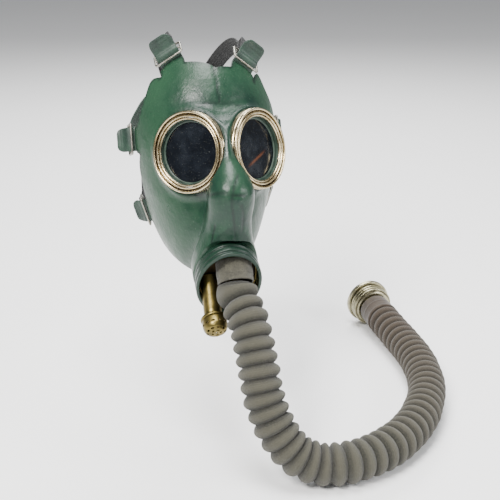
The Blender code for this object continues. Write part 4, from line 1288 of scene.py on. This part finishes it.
def build_valve_box(brass, disc, shade_disc):
    """The oval cup in the collar with a dark disc of painted shade on its floor, the stub for the hose, and
    the inhale valve in it.
    """
    right, up, outward = collar_axes()
    place = placed(COLLAR_CENTRE, right, up, outward)
    wide = (COLLAR_HALF_WIDTH - COLLAR_WALL - GAP) / MM
    back, lip, floor = BOX_BACK / MM, BOX_LIP / MM, BOX_FLOOR / MM
    cup = [(0.2, back), (wide, back), (wide, lip), (wide - 1.0, lip), (wide - 1.0, floor), (0.2, floor)]
    box = turned(rounded(cup, 0.4), place, 96, COLLAR_OVAL)
    cutters = []
    for port, radius in ((HOSE_PORT, HOSE_PORT_RADIUS), (EXHALE_PORT, EXHALE_RADIUS)):
        bore = rod(radius + GAP, -CUT_LENGTH, 0)
        cutters.append(turned(bore, looking_along(port_point(port), port_direction(port)), 64))
    box = cut_away(box, cutters, "EXACT")
    box.transform(TILT)
    piece("chin_valve_box", box, brass, "mask", ["valve_box"], 50)
    # Painted shade: a dark metal disc over the floor of the cup stands in for the shade inside the collar
    shade_disc_mesh = turned(rounded(rod(wide - 1.1, floor + 0.1, floor + 0.6), 0.1), place, 96, COLLAR_OVAL)
    shade_disc_mesh.transform(TILT)
    piece("valve_box_shade_disc", shade_disc_mesh, shade_disc, "mask")
    inlet = smooth_curve([port_point(HOSE_PORT, x * MM) for x in (-26, -18, -10, -1.5)], 20)
    port = open_pipe(inlet, HOSE_PORT_RADIUS, HOSE_PORT_RADIUS - 1.2 * MM)
    port.transform(TILT)
    piece("hose_stub", port, brass, "mask", ["inhale_port"], 50)
    seat_frame = TILT @ looking_along(port_point(HOSE_PORT, -21 * MM), -port_direction(HOSE_PORT))
    inside = HOSE_PORT_RADIUS / MM - 1.5
    seat = [(8.5, -1.5), (inside, -1.5), (inside, 0), (8.5, 0)]
    flap = rod(11.5, 0.3, 1.1)
    mesh = turned(rounded(seat, 0.3), seat_frame)
    piece("inhale_valve_seat", mesh, brass, "mask", ["inhale_seat"])
    mesh = turned(rounded(flap, 0.2), seat_frame)
    piece("inhale_valve_disc", mesh, disc, "inhale_valve", ["inhale_disc"])


def build_exhale_valve(brass, disc, black):
    """The bent exhale tube with its flange, washer, disc and perforated cap."""
    way = cap_direction()
    elbow = port_point(EXHALE_PORT, EXHALE_LENGTH)
    path = [port_point(EXHALE_PORT, x * MM) for x in (-19, -8, 4, 10, 13)]
    path += [elbow + way * MM, elbow + way * 4 * MM]
    tube = open_pipe(smooth_curve(path, 60), EXHALE_RADIUS, EXHALE_RADIUS - 1 * MM)
    tube.transform(TILT)
    piece("exhale_pipe", tube, brass, "mask", ["exhale_tube"], 60)
    frame = TILT @ looking_along(elbow + way * 4 * MM, way)
    flange = [(8.0, 0.3), (10.4, 0.3), (11.8, 0.9), (12.2, 2.0), (11.8, 3.1), (10.3, 3.6), (10.3, 4.6),
              (8.0, 4.6)]
    gasket = [(9.4, 4.9), (10.3, 4.9), (10.3, 5.7), (9.4, 5.7)]
    flap = rod(9.0, 4.9, 5.6)
    for name, outline, look, body, slot, node in (
        ("exhale_rolled_flange", flange, brass, "mask", "lacquered_brass", "exhale_flange"),
        ("exhale_washer", gasket, black, "mask", "black_rubber", "exhale_gasket"),
        ("exhale_valve_disc", flap, disc, "exhale_valve", "valve_mica", "exhale_disc"),
    ):
        mesh = turned(rounded(outline, 0.4 if node == "exhale_flange" else 0.15), frame)
        piece(name, mesh, look, body, [node], 60)
    outline = [(0, 16.5), (6.5, 16.2), (9.6, 14.6), (11.0, 11.5), (11.4, 8.0), (11.4, 3.95), (10.6, 3.95),
               (10.6, 8.0), (10.2, 11.2), (9.0, 13.8), (6.2, 15.3), (0, 15.6)]
    cap = turned(rounded(outline, 1.0, 3), frame)
    cutters = []
    for count, ring, oval in CAP_RINGS:
        for step in range(count):
            turn = Matrix.Rotation(math.tau * step / count, 4, "Z") @ Matrix.Translation((ring * MM, 0, 0))
            cutters.append(turned(rod(0.95 * MM, 11 * MM, 19 * MM), frame @ turn, 24, oval))
    for step in range(CAP_SIDE_HOLES):
        angle = math.tau * (step + 0.5) / CAP_SIDE_HOLES
        turn = Matrix.Rotation(angle, 4, "Z") @ Matrix.Translation((0, 0, 9.6 * MM))
        sideways = frame @ turn @ Matrix.Rotation(math.pi / 2, 4, "Y")
        cutters.append(turned(rod(0.9 * MM, 7 * MM, 14 * MM), sideways, 24, 1.9))
    cap = cut_away(cap, cutters, "EXACT")
    piece("perforated_cap", cap, brass, "valve_cap", ["exhale_cap"], 40)


def build_cuff():
    """The smooth cuff of the hose over its port, with the edge of the tape wound round it."""
    way = port_direction(HOSE_PORT)
    start = port_point(HOSE_PORT, CUFF_START)
    inner, outer = (HOSE_PORT_RADIUS + GAP) / MM, CUFF_RADIUS / MM
    outline = [(inner, 0), (outer - 0.3, 0), (outer - 0.3, 7.2), (outer, 7.6), (outer, 13.4),
               (outer - 0.5, 13.8), (outer - 0.3, 18.6), (outer - 0.8, 19.5), (inner, 19.5)]
    cuff = turned(rounded(outline, 0.3), looking_along(start, way))
    floor = looking_along(COLLAR_CENTRE, collar_axes()[2])
    block = rod(50 * MM, -CUT_LENGTH, BOX_FLOOR + GAP)
    cuff = cut_away(cuff, [turned(block, floor, 32)], "EXACT")
    cuff.transform(TILT)
    look = knit_cuff_look("taped_cloth", KNIT_MID, KNIT_PALE)
    piece("taped_cuff", cuff, look, "mask", ["hose_cuff"], 50)


# ---- harness

def build_tab(spec, looks):
    """Tongue, wire buckle and one continuous strap at one fastening point."""
    name, _, _, _, lift = spec
    frame = TILT @ tab_frame(spec)
    body = "fastener_" + name
    side = [(-8, -5.0), (-1, -4.5), (2.5, -3.6), (6, 0.9), (8.7, 4.4), (12, 5.9), (15, 6.4 + lift * 0.3)]
    side += [(16.5, 6.4 + lift * 0.7), (17, 6.4 + lift)]
    path = smooth_curve([Vector((0, y, z)) * MM for y, z in side], 49)
    normals = [Vector((0, 0, 1)) if index < 33 else Vector((0, -0.6, 0.8)) for index in range(len(path))]
    widths, thicks = [], []
    for index in range(len(path)):
        left = (len(path) - 1 - index) * 0.6
        round_end = math.sqrt(max(0.0, 1 - max(0.0, 1 - left / 8) ** 2.6))
        widths.append(TAB_WIDTH * (0.55 + 0.45 * round_end))
        rib = math.exp(-((index - 41) / 1.3) ** 2)
        thicks.append(TAB_THICK * (0.9 + 0.25 * rib) * (0.6 if index == len(path) - 1 else 1))
    mesh = strip(path, normals, widths, thicks, frame)
    piece("tongue_" + name, mesh, looks["tab"], "mask", ["tab_" + name], 60)
    pivot = frame @ Matrix.Translation((0, 2 * MM, 2.8 * MM))
    build_buckle(name, pivot, looks["wire"], body)
    build_strap(spec, pivot, looks)


def build_buckle(name, pivot, look, body):
    """A bent wire frame with rounded corners, and the bar across its middle."""
    half, drop, corner = BUCKLE_WIDTH / 2, BUCKLE_DROP, BUCKLE_CORNER
    path = []
    far = BUCKLE_LENGTH
    for x, y, start in ((half, far, 0), (-half, far, 90), (-half, 0, 180), (half, 0, 270)):
        cx, cy = x - math.copysign(corner, x), y + (corner if y == 0 else -corner)
        for step in range(7):
            angle = math.radians(start + 15 * step)
            px, py = cx + corner * math.cos(angle), cy + corner * math.sin(angle)
            path.append(pivot @ Vector((px, py, drop * py / BUCKLE_LENGTH)))
    loop = wire(path, WIRE_RADIUS)
    height = drop * BUCKLE_MIDDLE / BUCKLE_LENGTH
    bar = [pivot @ Vector((x * half, BUCKLE_MIDDLE, height)) for x in (-1, 0, 1)]
    bar = net_mesh(tube_net(bar, [WIRE_RADIUS * BAR_SHARE] * 3, WIRE_SIDES))
    work = bmesh.new()
    work.from_mesh(loop)
    work.from_mesh(bar)
    work.to_mesh(loop)
    work.free()
    piece("wire_buckle_" + name, loop, look, body, ["buckle_" + name], 60)


def build_strap(spec, pivot, looks):
    """The strap: round the buckle's far bar, then over the head to the rear pad."""
    name, _, pad_spot, _, _ = spec
    drop, around = BUCKLE_DROP, WIRE_RADIUS + GAP + STRAP_THICK / 2
    end = BUCKLE_LENGTH + STRAP_END_LENGTH
    path, normals = [], []
    for share in (1, 0.75, 0.5, 0.25):
        path.append(pivot @ Vector((0, BUCKLE_LENGTH + STRAP_END_LENGTH * share, drop - around)))
        normals.append(pivot.to_3x3() @ Vector((0, 0, -1)))
    for step in range(15):
        angle = -math.pi / 2 - math.pi * step / 14
        out = Vector((0, math.cos(angle), math.sin(angle)))
        path.append(pivot @ (Vector((0, BUCKLE_LENGTH, drop)) + out * around))
        normals.append(pivot.to_3x3() @ out)
    for share in (0.25, 0.5, 0.75, 1):
        path.append(pivot @ Vector((0, BUCKLE_LENGTH + STRAP_END_LENGTH * share, drop + around)))
        normals.append(pivot.to_3x3() @ Vector((0, 0, 1)))
    reach = 2 * MM + end + STRAP_CLEARANCE
    first = tab_frame(spec) @ Vector((0, reach, 0)) - HEAD_CENTRE
    second = tab_frame(spec) @ Vector((0, reach + STRAP_LEAD, 0)) - HEAD_CENTRE
    last = pad_point(pad_spot) - HEAD_CENTRE
    turn = second.normalized().rotation_difference(last.normalized())
    ways = [first.normalized()]
    for share in (0, 0.25, 0.5, 0.75, 1):
        ways.append(Quaternion(turn.axis, turn.angle * share) @ second.normalized())
    for step, way in enumerate(smooth_curve(ways, STRAP_STEPS)):
        share = step / (STRAP_STEPS - 1)
        rise = 0.3 * MM + 3.0 * MM * min(1.0, max(0.0, (share - 0.6) / 0.25))
        point, normal = on_head(way, rise + STRAP_THICK / 2)
        path.append(TILT @ point)
        normals.append(TILT.to_3x3() @ normal)
    mesh = strip(path, normals, [STRAP_WIDTH] * len(path), [STRAP_THICK] * len(path))
    look, slot = looks["black_web"], "dark_elastic"
    if name.startswith("temple"):
        look, slot = looks["green_web"], "green_elastic"
    made = piece("elastic_" + name, mesh, look, None, ["strap_" + name, "strap_end_" + name], 70)
    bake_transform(made)


def build_pad(look):
    """The rear pad: a softly crowned form with a shallow groove inside its border."""
    rows, columns = PAD_ROWS, PAD_COLUMNS
    ways, lifts = [], []
    for row in range(rows):
        for column in range(columns):
            x, z = 2 * column / (columns - 1) - 1, 2 * row / (rows - 1) - 1
            angle = PAD_RISE + z * PAD_HALF[1] / HEAD_RADII.z
            wide = PAD_HALF[0] * (1 - 0.22 * abs(z))
            ways.append((x * wide, HEAD_RADII.y * math.cos(angle), HEAD_RADII.z * math.sin(angle)))
            out = max(abs(x), abs(z))
            lifts.append(0.45 + 0.55 * (1 - out ** 8) - 0.2 * math.exp(-((out - 0.86) / 0.03) ** 2))
    skin = outward_hit(np.tile(np.array(HEAD_CENTRE), (len(ways), 1)), unit(np.array(ways)))
    normals = field_normal(skin)
    lower = skin + normals * 0.2 * MM
    upper = lower + normals * (np.array(lifts) * PAD_THICK)[:, None]
    shell = rows * columns
    faces, uvs = [], []
    for row in range(rows - 1):
        for column in range(columns - 1):
            a = row * columns + column
            quad = (a, a + 1, a + 1 + columns, a + columns)
            spots = [(c * 1.8 * MM, r * PAD_WEAVE) for r, c in
                     ((row, column), (row, column + 1), (row + 1, column + 1), (row + 1, column))]
            faces += [quad, tuple(shell + index for index in quad)]
            uvs += [spots, spots]
    rim = list(range(columns)) + [r * columns + columns - 1 for r in range(1, rows)]
    rim += [(rows - 1) * columns + c for c in range(columns - 2, -1, -1)]
    rim += [r * columns for r in range(rows - 2, 0, -1)]
    for index, (a, b) in enumerate(zip(rim, rim[1:] + rim[:1])):
        faces.append((a, b, shell + b, shell + a))
        left, right = index * PAD_WEAVE, (index + 1) * PAD_WEAVE
        uvs.append([(left, 0), (right, 0), (right, PAD_THICK), (left, PAD_THICK)])
    mesh = closed_mesh(np.concatenate([lower, upper]), faces, uvs)
    mesh.transform(TILT)
    made = piece("rear_pad", mesh, look, "mask", ["head_pad"], 60)


# ---- assembly

def main():
    add_camera()
    hose, path = build_hose()
    ends = build_hose_end(path[-1], (path[-1] - path[-2]).normalized())
    build_facepiece()
    looks = {
        "brass": metal_look("pale_brass_worn", PALE_BRASS, PALE_BRASS_DULL, PALE_BRASS_DIRT, 0.16),
        "lacquer": metal_look("lacquered_brass_worn", LACQUER, LACQUER_DULL, LACQUER_DIRT, 0.30),
        "wire": metal_look("wire_worn", WIRE, WIRE_DULL, WIRE_DIRT, 0.3),
        "recess": plain_rubber_look("recess_rubber", 0.006, RECESS, RECESS_WORN, 0.35, 0.6),
        "black": black_rubber_look(),
        "glass": glass_look(),
        "shade_disc": metal_look("painted_shade_metal", INTERIOR_SHADE, INTERIOR_SHADE_DULL, INTERIOR_SHADE_DEEP, 0.6),
        "mica": mica_look(),
        "tab": tab_look(),
        "black_web": webbing_look("black_webbing", BLACK_WEB, BLACK_WEB_WORN),
        "green_web": webbing_look("green_webbing", GREEN_WEB, GREEN_WEB_WORN),
    }
    build_eyepiece(-1, "L", looks)
    build_eyepiece(1, "R", looks)
    build_valve_box(looks["lacquer"], looks["mica"], looks["shade_disc"])
    build_exhale_valve(looks["lacquer"], looks["mica"], looks["black"])
    build_cuff()
    for spec in TABS:
        build_tab(spec, looks)
    build_pad(looks["black_web"])
    add_studio()


main()
